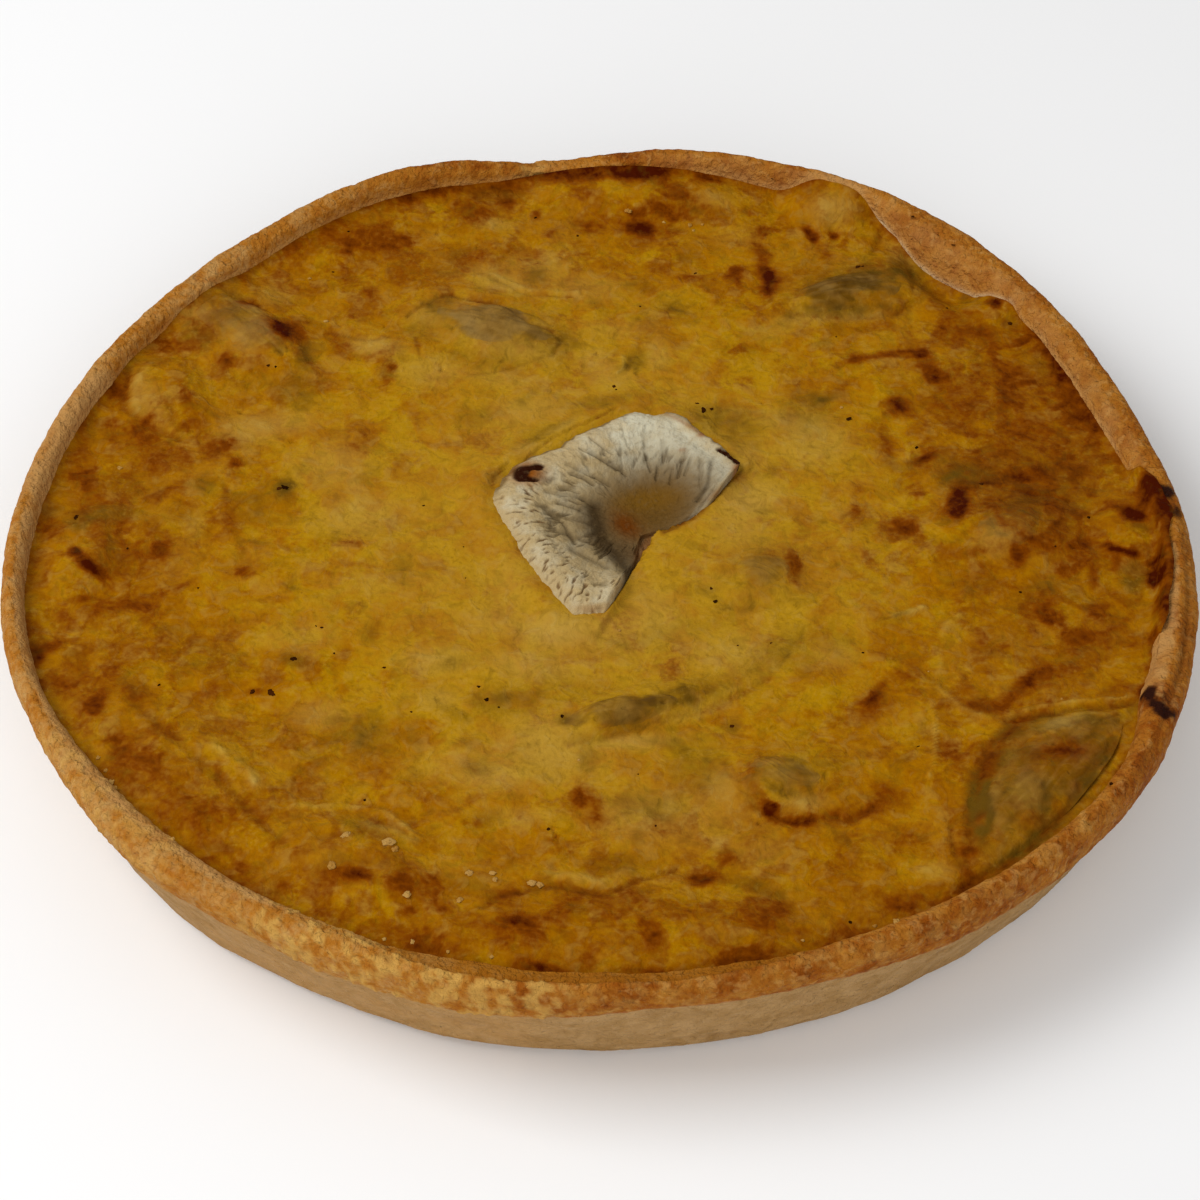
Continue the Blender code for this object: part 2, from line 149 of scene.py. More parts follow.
# The cup of heart
HEART_MIDDLE = (8.0, 3.0)
HEART_DEPTH = 7.0          # underside below the filling's surface
POCKET_DEPTH = 6.0
HEART_CREST = 3.0
CREST_AT, CREST_WIDTH = 0.80, 0.22
EDGE_DROP = 1.4            # from the crest's foot down to the outline
HEART_HOLLOW = 4.0
OPEN_SIDE_SUNK = 0.9       # the open side lies this far under the custard
HEART_SWELL = 1.2          # how far the custard is pushed up round the heart's fleshy sides
HEART_TURN = 40.0          # the hollow's long way, in degrees from +X
RIGHT_EDGE_UP = 3.2        # how much higher the right upper edge stands than the other fleshy edges
FLESH_STARTS = (8.0, 28.0)
FLESH_ENDS = (255.0, 266.0)
HEART_OUTLINE = (
    (0, 7.2), (18, 13.6), (29, 19.5), (36, 25.0), (48, 25.0), (63, 26.5), (80, 31.5), (92, 33.0),
    (106, 30.0), (130, 28.0), (150, 31.5), (168, 31.8), (184, 28.0), (205, 26.0), (225, 27.0),
    (243, 30.5), (254, 27.6), (257.5, 21.0), (262, 14.4), (272, 8.6), (300, 4.4), (335, 3.9),
)

Mark = namedtuple("Mark", "x y long wide turn depth")
# Marks on the filling are drawn as the camera sees them on the plane SEEN_LEVEL: what lies higher is
# seen SEEN_LEAN times as much further back
SEEN_LEVEL = 25.5
SEEN_LEAN = 0.962
# Where the custard is browned: half length, half width, turn and how much, with a minus for less
TOASTED = tuple(Mark(*row) for row in (
    # back, from the left leaf round to the blister
    (-53, 88, 9, 6, 35, 0.2), (-45, 90, 5, 2.5, 30, 0.12), (-50, 81, 5, 4, 0, 0.06),
    (-57, 95, 6, 4, 30, 0.16), (-30, 109, 17, 3.5, 8, 0.26), (-44, 106, 9, 4, 24, 0.2),
    (-30, 101, 5, 4, 0, 0.3), (-21, 104, 2.2, 2, 0, 0.3), (-14.7, 99.7, 1.4, 2.4, 0, 0.3),
    (-5, 107, 4, 3, 0, 0.2), (-2, 113, 13, 2.5, 6, 0.34), (9, 114, 7, 4, 8, 0.44),
    (20, 113, 8, 2.5, -12, 0.26), (16, 103, 5, 7, 0, 0.24), (9, 94.7, 4.4, 2.6, 0, 0.46),
    (8, 100, 2, 3, -30, 0.24), (-3, 95, 7, 2.2, 0, 0.2), (-12, 93, 1.6, 1.6, 0, 0.2),
    (33, 101, 2.6, 2, 0, 0.22), (-30, 86, 5, 3, 0, 0.1), (36, 94, 4, 2, -10, 0.26),
    (35, 87, 3, 2, -30, 0.2), (36.7, 76, 2, 5, -8, 0.58), (35.3, 82, 1.8, 3, 0, 0.4),
    (29.3, 80.3, 2.4, 2.6, 0, 0.34), (29.8, 75, 1.8, 4, 0, 0.2), (18.3, 78.3, 3.2, 1.6, 0, 0.22),
    (13, 81.7, 3, 1.4, 30, 0.2), (-23.3, 74.3, 2.2, 1.6, 0, 0.3), (-40, 81, 5, 4, 0, 0.08),
    (20, 88, 6, 4, 0, 0.1), (46.3, 93, 1.4, 3.2, 26, 0.55), (51.5, 93, 1.5, 1.6, -12, 0.5),
    (41, 95.6, 4, 2, -30, 0.14), (-50.7, 74, 2.2, 1.4, 10, 0.18), (48, 88, 3, 5, 0, 0.12),
    # right
    (88, 46, 20, 18, -60, 0.17), (88, 14, 14, 14, 0, 0.16), (69.5, 50, 2.4, 5, 14, 0.32),
    (69, 54, 2, 1.6, 0, 0.16), (84, 16, 20, 26, 0, 0.17), (84, -24, 18, 18, 0, 0.11),
    (38, -42, 16, 12, 0, 0.04), (-84, -64, 18, 7, -46, 0.12), (53.5, 51.6, 4, 1.5, 16, 0.3),
    (61, 53.6, 6, 1.4, 8, 0.3), (76, 61.6, 9, 2.6, -6, 0.16), (72.7, 44.7, 3, 3, 0, 0.14),
    (84.7, 39.3, 1.6, 3.8, 0, 0.18), (84, 45, 1.6, 2, 0, 0.06), (62.3, 37.7, 3.3, 3.4, 0, 0.62),
    (60, 28, 2, 5.5, 4, 0.34), (59.7, 23, 1.6, 2.4, 0, 0.2), (66.7, 21.7, 4.2, 1.4, 24, 0.3),
    (73, 8.7, 2.1, 4.8, -16, 0.74), (52, 7.3, 1.6, 2.8, 0, 0.26), (52.3, 13, 1.3, 3, 0, 0.16),
    (60.3, 1.3, 4.2, 3.8, 0, 0.34), (60, 0, 7, 6, 0, 0.08), (54.3, -6.7, 2.4, 3.2, 0, 0.2),
    (40.7, 5.3, 2.4, 3.2, 30, 0.2), (33, 3.5, 2.4, 2.6, 0, 0.2), (64.7, 12, 1.8, 2.6, 0, 0.22),
    (88.7, 18, 2.8, 3, 0, 0.12), (95, 22, 6, 7, 0, 0.05), (84, -6.7, 2, 2.8, 14, 0.2),
    (98.3, -1.3, 1.4, 3, 0, 0.2), (103.6, -3.4, 2.4, 1.0, -20, 0.4), (107, -5, 2.2, 1.2, -25, 0.42),
    (108.6, 5.6, 2.6, 1.9, -35, 0.5), (113, 12.4, 2.2, 2, 0, 0.4), (112, 9, 2.6, 1.6, 20, 0.26),
    (104, 9, 4, 2, -30, 0.16), (114, 4, 1.4, 4, 0, 0.26), (112.2, -9, 1.4, 2.6, 0, 0.44),
    (111.4, -13.4, 1.6, 2.4, 0, 0.6), (109, -32, 1.0, 4.5, 0, 0.3), (106.4, -44, 1.5, 1.5, 0, 0.5),
    (60, 5, 18, 22, 0, 0.04), (52, -45, 22, 16, -40, 0.04), (84, 22, 9, 9, 0, -0.08),
    (104, -2, 6, 6, 0, 0.12), (85, -37, 6, 4, 20, -0.1), (60, 52, 7, 3, 20, 0.12),
    (92, -11, 5, 2.4, 12, 0.1), (99.3, -11, 1.3, 4.2, -8, 0.34), (104, -8, 1.4, 5, 0, 0.2),
    (112, -22, 1.7, 4.6, -6, 0.5), (72, -72.5, 1.8, 7, -4, 0.3), (75, -61, 1.6, 6, -24, 0.24),
    (80, -52.4, 4, 1.4, 40, 0.2), (84, -61.5, 4, 2.6, 20, 0.18), (80, -74, 3, 3, 0, 0.16),
    (91, -59.5, 4, 2.4, 20, 0.14), (89.3, -22.7, 2.2, 3.2, 25, 0.26), (98.3, -21.3, 2, 2, 0, 0.26),
    (94.3, -28.7, 3.4, 3, 0, 0.3), (87, -38, 5, 2.4, 24, 0.3), (82, -41.6, 4, 2, 40, 0.22),
    (75, -47, 4.4, 2.2, 12, 0.3), (71, -46, 2, 1.6, 0, 0.14), (54, -42.3, 1.4, 3.4, -32, 0.42),
    (52.6, -46.6, 4.4, 3.6, 0, 0.22), (60.7, -38.3, 4.4, 1.8, 0, 0.18), (44, -49, 4, 2, 0, 0.12),
    (66.7, -59, 2.6, 4, 0, 0.24), (53.4, -68.4, 2.6, 3.6, -30, 0.22), (38.8, -8.6, 1.8, 5, 0, 0.36),
    (47, -73.6, 6, 1.8, 6, 0.24), (37, -75.6, 5, 1.6, -6, 0.3), (30.4, -70, 1.6, 4, 30, 0.36),
    (29, -63, 2, 4, 0, 0.26), (100, 42, 4, 18, 12, 0.14), (34, -5, 4, 2.6, 0, 0.14),
    (13, -6, 1.3, 1.3, 0, 0.3), (85, 69.7, 1.7, 1.8, 0, 0.46), (90, 62, 4, 6, 0, 0.12),
    (29.6, 55.3, 3.4, 2, 0, 0.2), (31, 45.6, 2.4, 2.2, 0, 0.26), (40.3, 44, 2.2, 3, 0, 0.2),
    (36, 18, 3, 2, 0, 0.1),
    # front
    (6.5, -31, 2.6, 3.6, 0, 0.26), (13, -37, 4, 3, 0, 0.1), (-2, -33, 4, 3, 0, 0.1),
    (35.3, -43.7, 3, 2, 0, 0.14), (32.3, -72.3, 1.8, 1.8, 0, 0.6), (-3.2, -70, 2.8, 3.2, 0, 0.32),
    (-0.6, -73.4, 1.4, 3, 0, 0.24), (-23.3, -75.7, 3, 1.6, -8, 0.2), (2, -104, 12, 3, 0, -0.08),
    (10, -31, 7, 5, 0, -0.08), (0, -101, 30, 9, 0, 0.14), (-17.3, -99.7, 7.4, 1.8, 5, 0.26),
    (9.3, -103, 2.4, 5.4, 16, 0.28), (-30, -92.6, 4, 5, 0, 0.22), (-11, -110.5, 5.4, 2, -14, 0.4),
    (8, -111, 5, 1.5, 0, 0.24), (23.3, -84.5, 2.2, 2.6, 0, 0.2), (18.7, -89.7, 3, 1.3, 0, 0.32),
    (58, -94.4, 8, 3, 22, 0.28), (68.7, -82.7, 2, 1.5, 0, 0.34), (84, -58.6, 4.4, 1.8, -6, 0.17),
    (89, -57.4, 3.2, 2.8, 30, 0.25), (107, -47, 2, 2.6, -20, 0.4), (50, -82, 10, 5, 20, 0.08),
    (-48.7, -88, 6, 3, 0, 0.34), (-45.3, -88.5, 2.6, 1.6, 0, 0.3), (-37, -91, 3.4, 4, 0, 0.26),
    (-36, -97, 2.2, 1.6, 0, 0.3), (-42, -83, 4, 2.4, 0, 0.12), (-14, -103, 4, 6, 10, 0.14),
    (-60, -92, 16, 5, -35, 0.14), (-30, -104, 12, 3, -6, 0.2), (48, -103, 12, 3, 22, 0.16),
    (30, -98, 10, 4, 10, 0.14), (28, -108, 10, 3, 8, 0.2),
    # left
    (-80, -67, 10, 4, -45, -0.1), (-94, 10, 7, 16, 0, -0.06), (-64, -18, 8, 7, 0, -0.07),
    (-44, 52, 5, 4, 0, 0.1), (-28, -22, 10, 7, 0, -0.07), (-50, 95, 9, 5, 35, 0.08),
    (-96, 14, 13, 20, 0, 0.15), (-94, -26, 12, 22, 8, 0.12), (-108, 18, 3, 12, 4, 0.2),
    (-105, 44, 2.6, 8, 24, 0.3), (-112, 1, 3, 4, 0, 0.3), (-106.6, -5, 1.7, 1.7, 30, 0.66),
    (-103, -9.4, 4, 1.7, -42, 0.44), (-108.5, -31, 3.4, 1.7, 28, 0.4), (-112, -34, 2.4, 3.4, 0, 0.4),
    (-106, -42, 3, 4, 30, 0.2), (-98.5, -47, 2.2, 4.4, -24, 0.3), (-93, -19.4, 3.4, 1.5, -10, 0.28),
    (-89.3, -5, 2, 3.4, 10, 0.22), (-83, -3, 2, 1.4, 0, 0.14), (-75.7, 20.7, 1.8, 1.7, -20, 0.4),
    (-79.5, 24.5, 4.4, 3, 40, 0.24), (-77.4, 12.4, 0.9, 3.4, 6, 0.22), (-75, 2.6, 2.6, 4.4, 0, 0.2),
    (-72, -10.6, 2, 1.9, 0, 0.34), (-50, 27.4, 5.4, 5, 0, 0.24), (-45.5, 47, 2, 3.4, 4, 0.36),
    (-44.6, 49.6, 1.6, 1, 0, 0.24), (-68.6, 60.6, 2.4, 2.8, 0, 0.46), (-67.5, 61, 5.4, 4, -10, 0.2),
    (-77, 69.4, 2.2, 1.8, -20, 0.3), (-80, 52, 1.8, 3, 0, 0.2), (-56, 56, 3, 2.8, 0, 0.22),
    (-39.5, 56.5, 0.9, 3, 10, 0.24), (-30, 27, 7, 3, 0, 0.14), (-34, 35, 7, 3, 0, 0.14),
    (-52, -2.8, 6, 1.3, -4, 0.2), (-49.6, -19.4, 4, 3, 0, 0.16), (-76, -43.4, 1.6, 3.6, 20, 0.22),
    (-62, -36, 8, 3, 10, 0.06), (-78, -35, 9, 6, -20, 0.1), (-80, -68, 15, 6, -46, 0.12),
    (-92, 55, 6, 5, 0, 0.16), (-88, 41.6, 1.6, 6.5, 22, 0.2), (-68, -43, 1.6, 1, 0, 0.34),
    (-42, -24, 6, 5, 0, 0.08), (-64, 54, 3, 4, 0, 0.14), (-60, -68, 6, 3, 10, 0.06),
    (-70, 92, 8, 3, 42, 0.1), (-24, -12, 6, 14, 0, 0.04), (-100, 28, 8, 6, 30, 0.12),
    (-96, 33, 1.2, 5, -30, 0.16), (-66, -78, 9, 3, -45, 0.1), (-6, 47.6, 3, 4, 0, 0.1),
))
# The two browned dimples in the blister's top
BLISTER_PITS = (Mark(46.3, 93, 1.2, 2.8, 24, 1.0), Mark(51.5, 93, 1.2, 1.5, -12, 1.0))
# Paler patches: young cheese and steam-washed custard, and on the swollen tops of bubbles a painted highlight
PALE = tuple(Mark(*row) for row in (
    # The first row is a painted highlight on the blister's top
    (51, 101, 5, 5, 0, 0.5), (-71, 73, 4, 4, 0, 0.3), (-75, 30, 6, 5, 0, 0.42), (-50.3, 5.3, 9, 6, 0, 0.4),
    (-56, 20, 8, 7, 0, 0.4), (-48, 56, 6, 2.8, -6, 0.6), (-37, 48.7, 7, 5, 0, 0.44),
    (-66.7, 32.7, 8, 4, 0, 0.4), (-96, 40, 3.4, 8, 24, 0.34), (-15, 37, 9, 4, 10, 0.34),
    (-20, 46, 9, 3, -14, 0.3), (-1.3, 52.3, 4, 4, 0, 0.34), (12, 53.7, 3, 5, 0, 0.4),
    (-4, 75, 9, 5, 0, 0.3), (-22, 77, 7, 3.4, -30, 0.4), (-12, 83, 5, 4, 0, 0.24), (2, 46, 5, 4, 0, 0.3),
    (31, 11, 7, 5, 0, 0.46), (28, 4, 6, 8, 0, 0.3), (25, -33, 9, 5, 0, 0.3), (-10, -27, 7, 4, 0, 0.5),
    (-14, -36, 9, 4, -10, 0.4), (-10, -55, 8, 7, 0, 0.36), (6, -55.7, 8, 2.2, 4, 0.6),
    (-33, -34.7, 7, 4, 0, 0.4), (-32, -44.7, 4, 3, 0, 0.44), (-54.7, -48.7, 6, 4, 0, 0.4),
    (46, -33, 5, 4, 0, 0.3), (22.7, -66.3, 3, 4, 0, 0.4), (22, -81, 2, 1.8, 0, 0.5),
    (6, -74, 8, 6, 0, 0.26), (-20.7, -65, 6, 3.4, 0, 0.36), (-14, -74, 7, 2, 0, 0.3),
    (44.7, 26.7, 8, 7, 0, 0.4), (43, 33, 5, 4, 0, 0.3), (50, 66, 12, 2, 4, 0.36), (30, 92, 6, 4, 0, 0.16),
    (-24, 96.3, 5, 2.4, -10, 0.4), (25, 104, 5, 3, 0, 0.26), (-83, 3, 2, 4, 0, 0.26),
    (-46, -14, 8, 4, 0, 0.14), (62.7, -87.7, 3.4, 2.4, 0, 0.4), (30, -84, 6, 4, 0, 0.2),
    (-60, -28, 8, 4, 0, 0.2), (38, 62, 8, 3, 20, 0.2), (80, -1.5, 4, 4.4, 0, 0.4),
    (93.3, -9.2, 3, 1.3, 14, 0.44), (-30, -62, 10, 4, 0, 0.16), (4, 62, 9, 3, 0, 0.2),
    (30, 22, 4, 5, 0, 0.3), (-22, -24, 6, 4, 0, 0.24), (18, -48, 8, 2, 24, 0.2), (-38, 66, 4, 3, 0, 0.3),
    (0, -27, 14, 6, 0, 0.3), (-18, -14, 5, 9, 0, 0.2), (-5, -62, 12, 5, 0, 0.18), (10, -20, 5, 8, 30, 0.3),
    (16, -74, 14, 9, 0, 0.26), (-16, -60, 14, 10, 0, 0.2), (-25, 62, 18, 8, -20, 0.2),
    (-20, 80, 12, 6, 0, 0.2), (-16, 24, 3, 2, 40, 0.4), (-8, 31, 4, 1.4, 36, 0.5),
    (89, -51, 5, 1.6, 20, 0.9), (78, -60, 1.6, 5, -26, 0.4), (74.6, -69, 1.2, 5, -14, 0.4),
    (38.6, -70.4, 4, 2.4, 0, 0.5), (80.6, -69, 3.4, 4.4, 10, 0.4), (-88, 66.7, 4, 4, 0, 0.36),
    (36, 34, 4, 3, 0, 0.3), (-75, 57, 4, 4, 0, 0.3), (66, 86, 2, 5, 36, 0.4), (-86, -8, 5, 6, 0, 0.1),
    (-18.6, 55.6, 9, 4, -20, 0.34),
))
# Olive and grey-green stains, where leaf lies close under the custard, with a minus for less; the narrow dark
# marks round the front-right leaf and along the rim beside it are partly painted shade in the gaps there
OLIVE = tuple(Mark(*row) for row in (
    (-24, 107.5, 7, 3.4, 0, 0.4), (-14.3, 79, 2.6, 3.4, 0, 0.6), (-65.7, 13.5, 2.4, 3, 0, 0.7),
    (-67, 12, 5, 5, 0, 0.3), (-72.3, 7.3, 3.4, 5, 10, 0.34), (-106.6, 3.6, 2.4, 2.4, 0, 0.7),
    (-100, 6, 6, 2.4, 0, 0.5), (-82, 14, 2, 4, 0, 0.3), (-63, 54, 2.6, 4.4, -10, 0.6),
    (-64.6, 43, 4.4, 6, 0, 0.44), (-88, 76.7, 2, 4, 45, 0.5), (-84, 60, 5, 5, 0, 0.3),
    (-80, 66, 9, 3, -40, 0.3), (5.3, -49, 6, 2.6, 22, 0.7), (-7.4, -50, 1.6, 1.8, 0, 0.6),
    (-2.7, -60.3, 2, 3.4, 0, 0.5), (-23.3, -62.3, 3.6, 2, 0, 0.5), (-60.5, -35, 3, 1.8, -30, 0.6),
    (-46, -54, 6, 6, -30, 0.5), (-46, -55.4, 2, 2, 0, 0.3), (-22, -45, 4, 2.4, 0, 0.4),
    (24, 35, 7, 4, 0, 0.5), (30, 30, 5, 5, 0, 0.4), (45.3, 40, 3.4, 2.4, 0, 0.5), (43.3, 35, 7, 6, 0, 0.34),
    (107, -12, 2.6, 4.4, 0, 0.7), (76, 17, 6, 4, 0, 0.5), (90, 8, 8, 7, 0, 0.4),
    (72, -74.3, 2.2, 7, -4, 0.9), (79.3, -58.4, 4, 6, -20, 0.3), (83, -72, 1.6, 5, 30, 0.3),
    (38, -64, 4, 5, 0, 0.4), (8, -71.7, 6, 4, 0, 0.4), (4, -86, 7, 3, 0, 0.34), (28, -91, 6, 2, -14, 0.34),
    (18.7, -62, 6, 7, 0, 0.44), (95, 50, 4, 5, 0, 0.2), (7.3, 52.3, 2, 4, 0, 0.6), (57, 77, 10, 4, 14, 0.5),
    (52, 68, 12, 1.6, 4, 0.5), (68, 79, 2, 6, 40, 0.3), (88.3, 64, 2.4, 2.6, 0, 0.4),
    (14, -27, 12, 3, 20, 0.2), (34, -32, 9, 3, 45, 0.4), (16, -44, 10, 3, 22, 0.5),
    (25.3, -51.7, 2, 1.8, 0, 0.5), (-10, -42, 10, 4, 0, 0.2), (-36, 70, 4, 2.4, 20, 0.5),
    (-38, 62, 5, 5, 0, 0.3), (-8, 58, 3, 4, 0, 0.3), (-24, 52, 9, 3, -14, 0.36), (33, -11, 6, 7, 0, 0.2),
    (8, 76, 4, 3, 0, 0.3), (-45, -76.4, 5, 1.8, -14, 0.4), (-40, -9, 2.6, 5, 0, 0.3),
    (59, -23, 4, 2, 20, 0.3), (46, -30, 5, 4, 0, 0.24), (-30, 63, 5, 3, -40, 0.3), (72, 18, 3, 6, 0, 0.3),
    (-74, 45, 5, 3, 0, 0.3), (66, 82, 3, 3, 0, 0.3), (16, 69, 4, 3, -40, 0.3), (-78, -34, 9, 5, -20, 0.2),
    (90, -84, 3, 2, 0, 0.2), (-88, 5, 6, 4, 0, 0.2), (-98, 14, 8, 4, -10, 0.2), (-14, 30, 4, 2, 20, 0.2),
    (90, 17, 12, 10, 0, 0.3), (55, 75, 15, 9, 20, 0.4), (-17, 58, 10, 5, -30, 0.35),
    (31, -10, 9, 8, 0, 0.14), (84.5, -51, 4, 2.2, 30, 0.6), (86.4, 7.4, 3.6, 2.6, 0, 0.6),
    (36, -65, 8, 7, 0, 0.14), (79, -78, 9, 3, 46, 0.4), (76, -68, 6, 9, -30, 0.3),
    (0, 38.5, 8, 2.2, 8, 0.45), (-12, 29, 8, 1.6, 38, 0.45), (-18, -46, 8, 3.4, 8, 0.3),
    (4, -53, 12, 2.2, 12, 0.25), (-14, 62, 8, 5, -40, 0.25), (97, -50, 8, 2.0, 8, 0.5),
    # Partly painted shade: narrow dark marks in the gaps round the front-right leaf and along the rim beside
    # it
    (14, -44, 9, 3, 10, 0.2), (-28, -22, 10, 7, 0, -0.25), (71.8, -70.5, 2.2, 7.5, 0, 0.9),
    (93.5, -64.5, 10, 1.6, 60, 0.7), (80, -81.5, 11, 1.8, 42, 0.8), (84.4, -69, 1.3, 4, 0, 0.6),
    (79, -53, 3, 2, 40, 0.6), (94, -53.5, 5, 1.2, 50, 0.4), (88.6, -66, 1.2, 4, -40, 0.5),
))

# Where the case is burnt black and where it is scorched brown
CASE_BURNS = tuple(Mark(*row) for row in (
    (115.5, 8.6, 2.6, 2.6, 0, 0.9), (117, 3, 1.4, 3, 0, 0.7), (112.2, -14, 1.5, 5.4, 0, 1.0),
    (113, -4, 1.2, 3.6, 10, 0.6), (106.4, -46.2, 1.6, 1.8, 0, 0.95), (108.6, -51.8, 2.2, 2.4, 30, 1.1),
    (107, -49, 1.2, 2.6, 20, 0.6),
))
CASE_SCORCHED = tuple(Mark(*row) for row in (
    (114, 6, 5, 7, 0, 0.3), (113, -14, 2.4, 9, 0, 0.3), (108, -49, 3.6, 5, 20, 0.3),
    (9, 116, 10, 2.4, 3, 0.25), (-34, 111, 12, 1.6, 8, 0.2), (112, -25, 1.6, 4, 8, 0.35),
    (84, 84, 3, 2, -45, 0.12),
))

Stroke = namedtuple("Stroke", "path width depth")
# Folds and creases pressed into the custard; the dark lines that go with them are partly browning and partly
# painted shade
CREASES = (
    Stroke(((-42, 66), (-38.7, 70), (-33.3, 73), (-28, 70.7), (-22, 69.7), (-18.7, 66.3), (-14.7, 63),
            (-10.7, 61), (-8.7, 58.3), (-10, 54.3)), 0.6, 0.8),
    Stroke(((-28, 47.7), (-22, 49), (-16, 51), (-10, 53.7)), 0.5, 0.5),
    Stroke(((-32, 64), (-27, 61), (-22, 56)), 0.9, 0.4), Stroke(((-21, 67), (-17, 64.6)), 0.6, 0.4),
    Stroke(((-89, 77), (-83.3, 75), (-78, 71.6), (-74, 68.7)), 0.9, 0.9),
    Stroke(((-90, 72), (-88, 64), (-84, 58)), 0.8, 0.4), Stroke(((-84, 70), (-82, 62)), 0.7, 0.3),
    Stroke(((-66, 62), (-63.4, 57), (-62.6, 52)), 1.2, 0.5),
    Stroke(((-58.7, 60.3), (-49.3, 58), (-45.3, 59.3)), 0.5, 0.6),
    Stroke(((-40, 59), (-38.7, 53.3)), 0.6, 0.4), Stroke(((-42, 52), (-37, 53)), 0.5, 0.4),
    Stroke(((-101, 49), (-101, 37), (-94, 31), (-88, 28)), 0.8, 0.8),
    Stroke(((-91, 41), (-90, 33), (-85, 29)), 0.8, 0.4),
    Stroke(((-22, -96), (-19, -93.6), (-9.3, -91.2), (-4, -92), (1.3, -92.8), (5.3, -90.4),
            (14, -87)), 0.7, 0.8), Stroke(((14, -88), (24, -90), (32, -93), (36, -96)), 0.9, 0.4),
    Stroke(((-92, -44.7), (-83.3, -53.3), (-78.7, -58), (-73.3, -64), (-68.7, -69.3), (-65.3, -74.7),
            (-60, -80)), 1.1, 0.7), Stroke(((-96, -54), (-88, -60), (-80, -67), (-74, -76)), 1.2, 0.25),
    Stroke(((-53, -79), (-46, -78), (-40, -80), (-36, -86)), 1.0, 0.4),
    Stroke(((78.6, -50), (84, -49.2), (92.6, -46.9), (103, -46)), 0.8, 1.1),
    Stroke(((84, -53.6), (92, -51), (100, -48.6)), 0.5, 0.6),
    Stroke(((81.3, -49), (78, -53), (74.7, -56.3), (73, -61), (71.3, -66.3), (69.6, -73),
            (69.3, -80)), 1.1, 0.9), Stroke(((83, -64), (84.6, -69), (83, -75)), 0.8, 0.5),
    Stroke(((76, -66), (79, -73), (76, -79)), 0.8, 0.4),
    Stroke(((-6, -56), (2, -54.4), (7, -52), (12, -50), (22, -47), (32, -40), (40, -28)), 0.9, 0.6),
    Stroke(((27.3, -68.3), (30, -73), (36, -76), (41.3, -74.4), (47.3, -75.2), (52, -72)), 0.9, 0.6),
    Stroke(((41, 66.2), (50, 65.6), (58, 66), (63, 66), (67.5, 70)), 0.8, 0.6),
    Stroke(((40.3, 70.7), (44.7, 76.7), (50, 80.7), (58, 82.7)), 0.6, 0.3),
    Stroke(((67, 86), (68.5, 80), (68, 74)), 0.7, 0.5), Stroke(((27, 91), (34, 89.6), (38, 86)), 0.8, 0.3),
    Stroke(((60, 87), (62, 93), (63.5, 99)), 0.9, 0.9),
    Stroke(((92, 61), (96, 57), (99, 52), (99.5, 46)), 1.0, 0.2),
    Stroke(((98.6, -56.6), (92.5, -64.3), (88.5, -72), (83, -78.5), (75, -86.5), (67, -91.5)), 1.2, 1.2),
    Stroke(((-15.7, 20.6), (-10.3, 27.2), (-3.7, 31.6), (3, 36)), 0.4, 0.8),
    Stroke(((28.4, 17), (24, 11.6), (20.6, 7), (16, 3.4), (13, 1.2)), 1.0, 1.3),
    Stroke(((-22.6, 13), (-21.6, 16.6), (-19, 19.6)), 0.5, 0.8),
    Stroke(((75, 15.6), (80, 15), (88, 12), (98, 10)), 0.7, 0.4),
    Stroke(((-102, 4), (-106, 4.6), (-109, 3)), 0.8, 0.5),
    Stroke(((-23.4, 78), (-17.3, 73.4), (-5.3, 71.8)), 0.4, 0.4),
    Stroke(((13.3, 71), (18.7, 67)), 0.7, 0.4),
    Stroke(((24, -18), (28, -21), (34, -20), (40, -16)), 0.9, 0.4),
    Stroke(((5.4, 49), (6.4, 53)), 0.5, 0.6), Stroke(((-9.4, -77.4), (-8.2, -79.4)), 0.3, 0.8),
    Stroke(((65.6, -75), (66.4, -84)), 0.6, 0.6), Stroke(((56.4, -23.4), (61, -21.8)), 0.3, 0.6),
    Stroke(((74, 1), (74.6, -9), (73, -15)), 0.8, 0.3),
)
# Low ridges of pale custard and cheese, whose paleness is partly a painted highlight on their crests
RIDGES = (
    Stroke(((-74.5, -56.6), (-72, -59), (-69.3, -61.3), (-67, -64), (-65.3, -66.9)), 0.9, 1.0),
    Stroke(((4.2, 53), (5, 49.6), (3.5, 47.6)), 0.35, 0.7),
    Stroke(((82, -47.3), (92.6, -45.2), (102.5, -44.3)), 0.4, 0.7),
    Stroke(((58, -22.5), (62, -21.3), (64.4, -20.4)), 0.6, 1.0),
    Stroke(((67.8, -27.6), (68.6, -25), (71.6, -22.6)), 0.7, 0.8),
    Stroke(((-9.5, -88.2), (-5, -89.4), (0, -90.4), (5, -87.6)), 1.0, 0.8),
    Stroke(((-58.7, -72.3), (-49.3, -71.7), (-41.3, -73.3), (-35.3, -78.7)), 0.6, 0.8),
    Stroke(((-44.5, -76.2), (-40, -78), (-35.3, -80.7)), 0.9, 0.7),
    Stroke(((64.7, -48.3), (64, -59.7), (62.7, -65)), 0.5, 0.6),
    Stroke(((-96, 50), (-99, 44), (-98, 36)), 1.0, 0.6),
    Stroke(((-71, 33), (-66, 24), (-62, 14)), 0.8, 0.3),
    Stroke(((-23, 79.4), (-16.6, 74.6), (-5, 73.2)), 0.5, 0.5),
    Stroke(((38, -33), (30, -40), (22, -44)), 0.8, 0.3), Stroke(((22, 33), (27, 36.5), (34, 36)), 0.6, 0.3),
    Stroke(((42, 71), (49, 72.4), (56, 72.6)), 0.5, 0.5),
    Stroke(((75, -50), (70, -47), (66, -42), (67, -34)), 0.7, 0.4),
    Stroke(((-55, 66.4), (-55.6, 61)), 0.5, 0.3), Stroke(((74.6, -2), (75, -12), (72, -18)), 0.8, 0.3),
    Stroke(((-31, -34), (-38, -33.4), (-42, -35)), 0.7, 0.4),
)
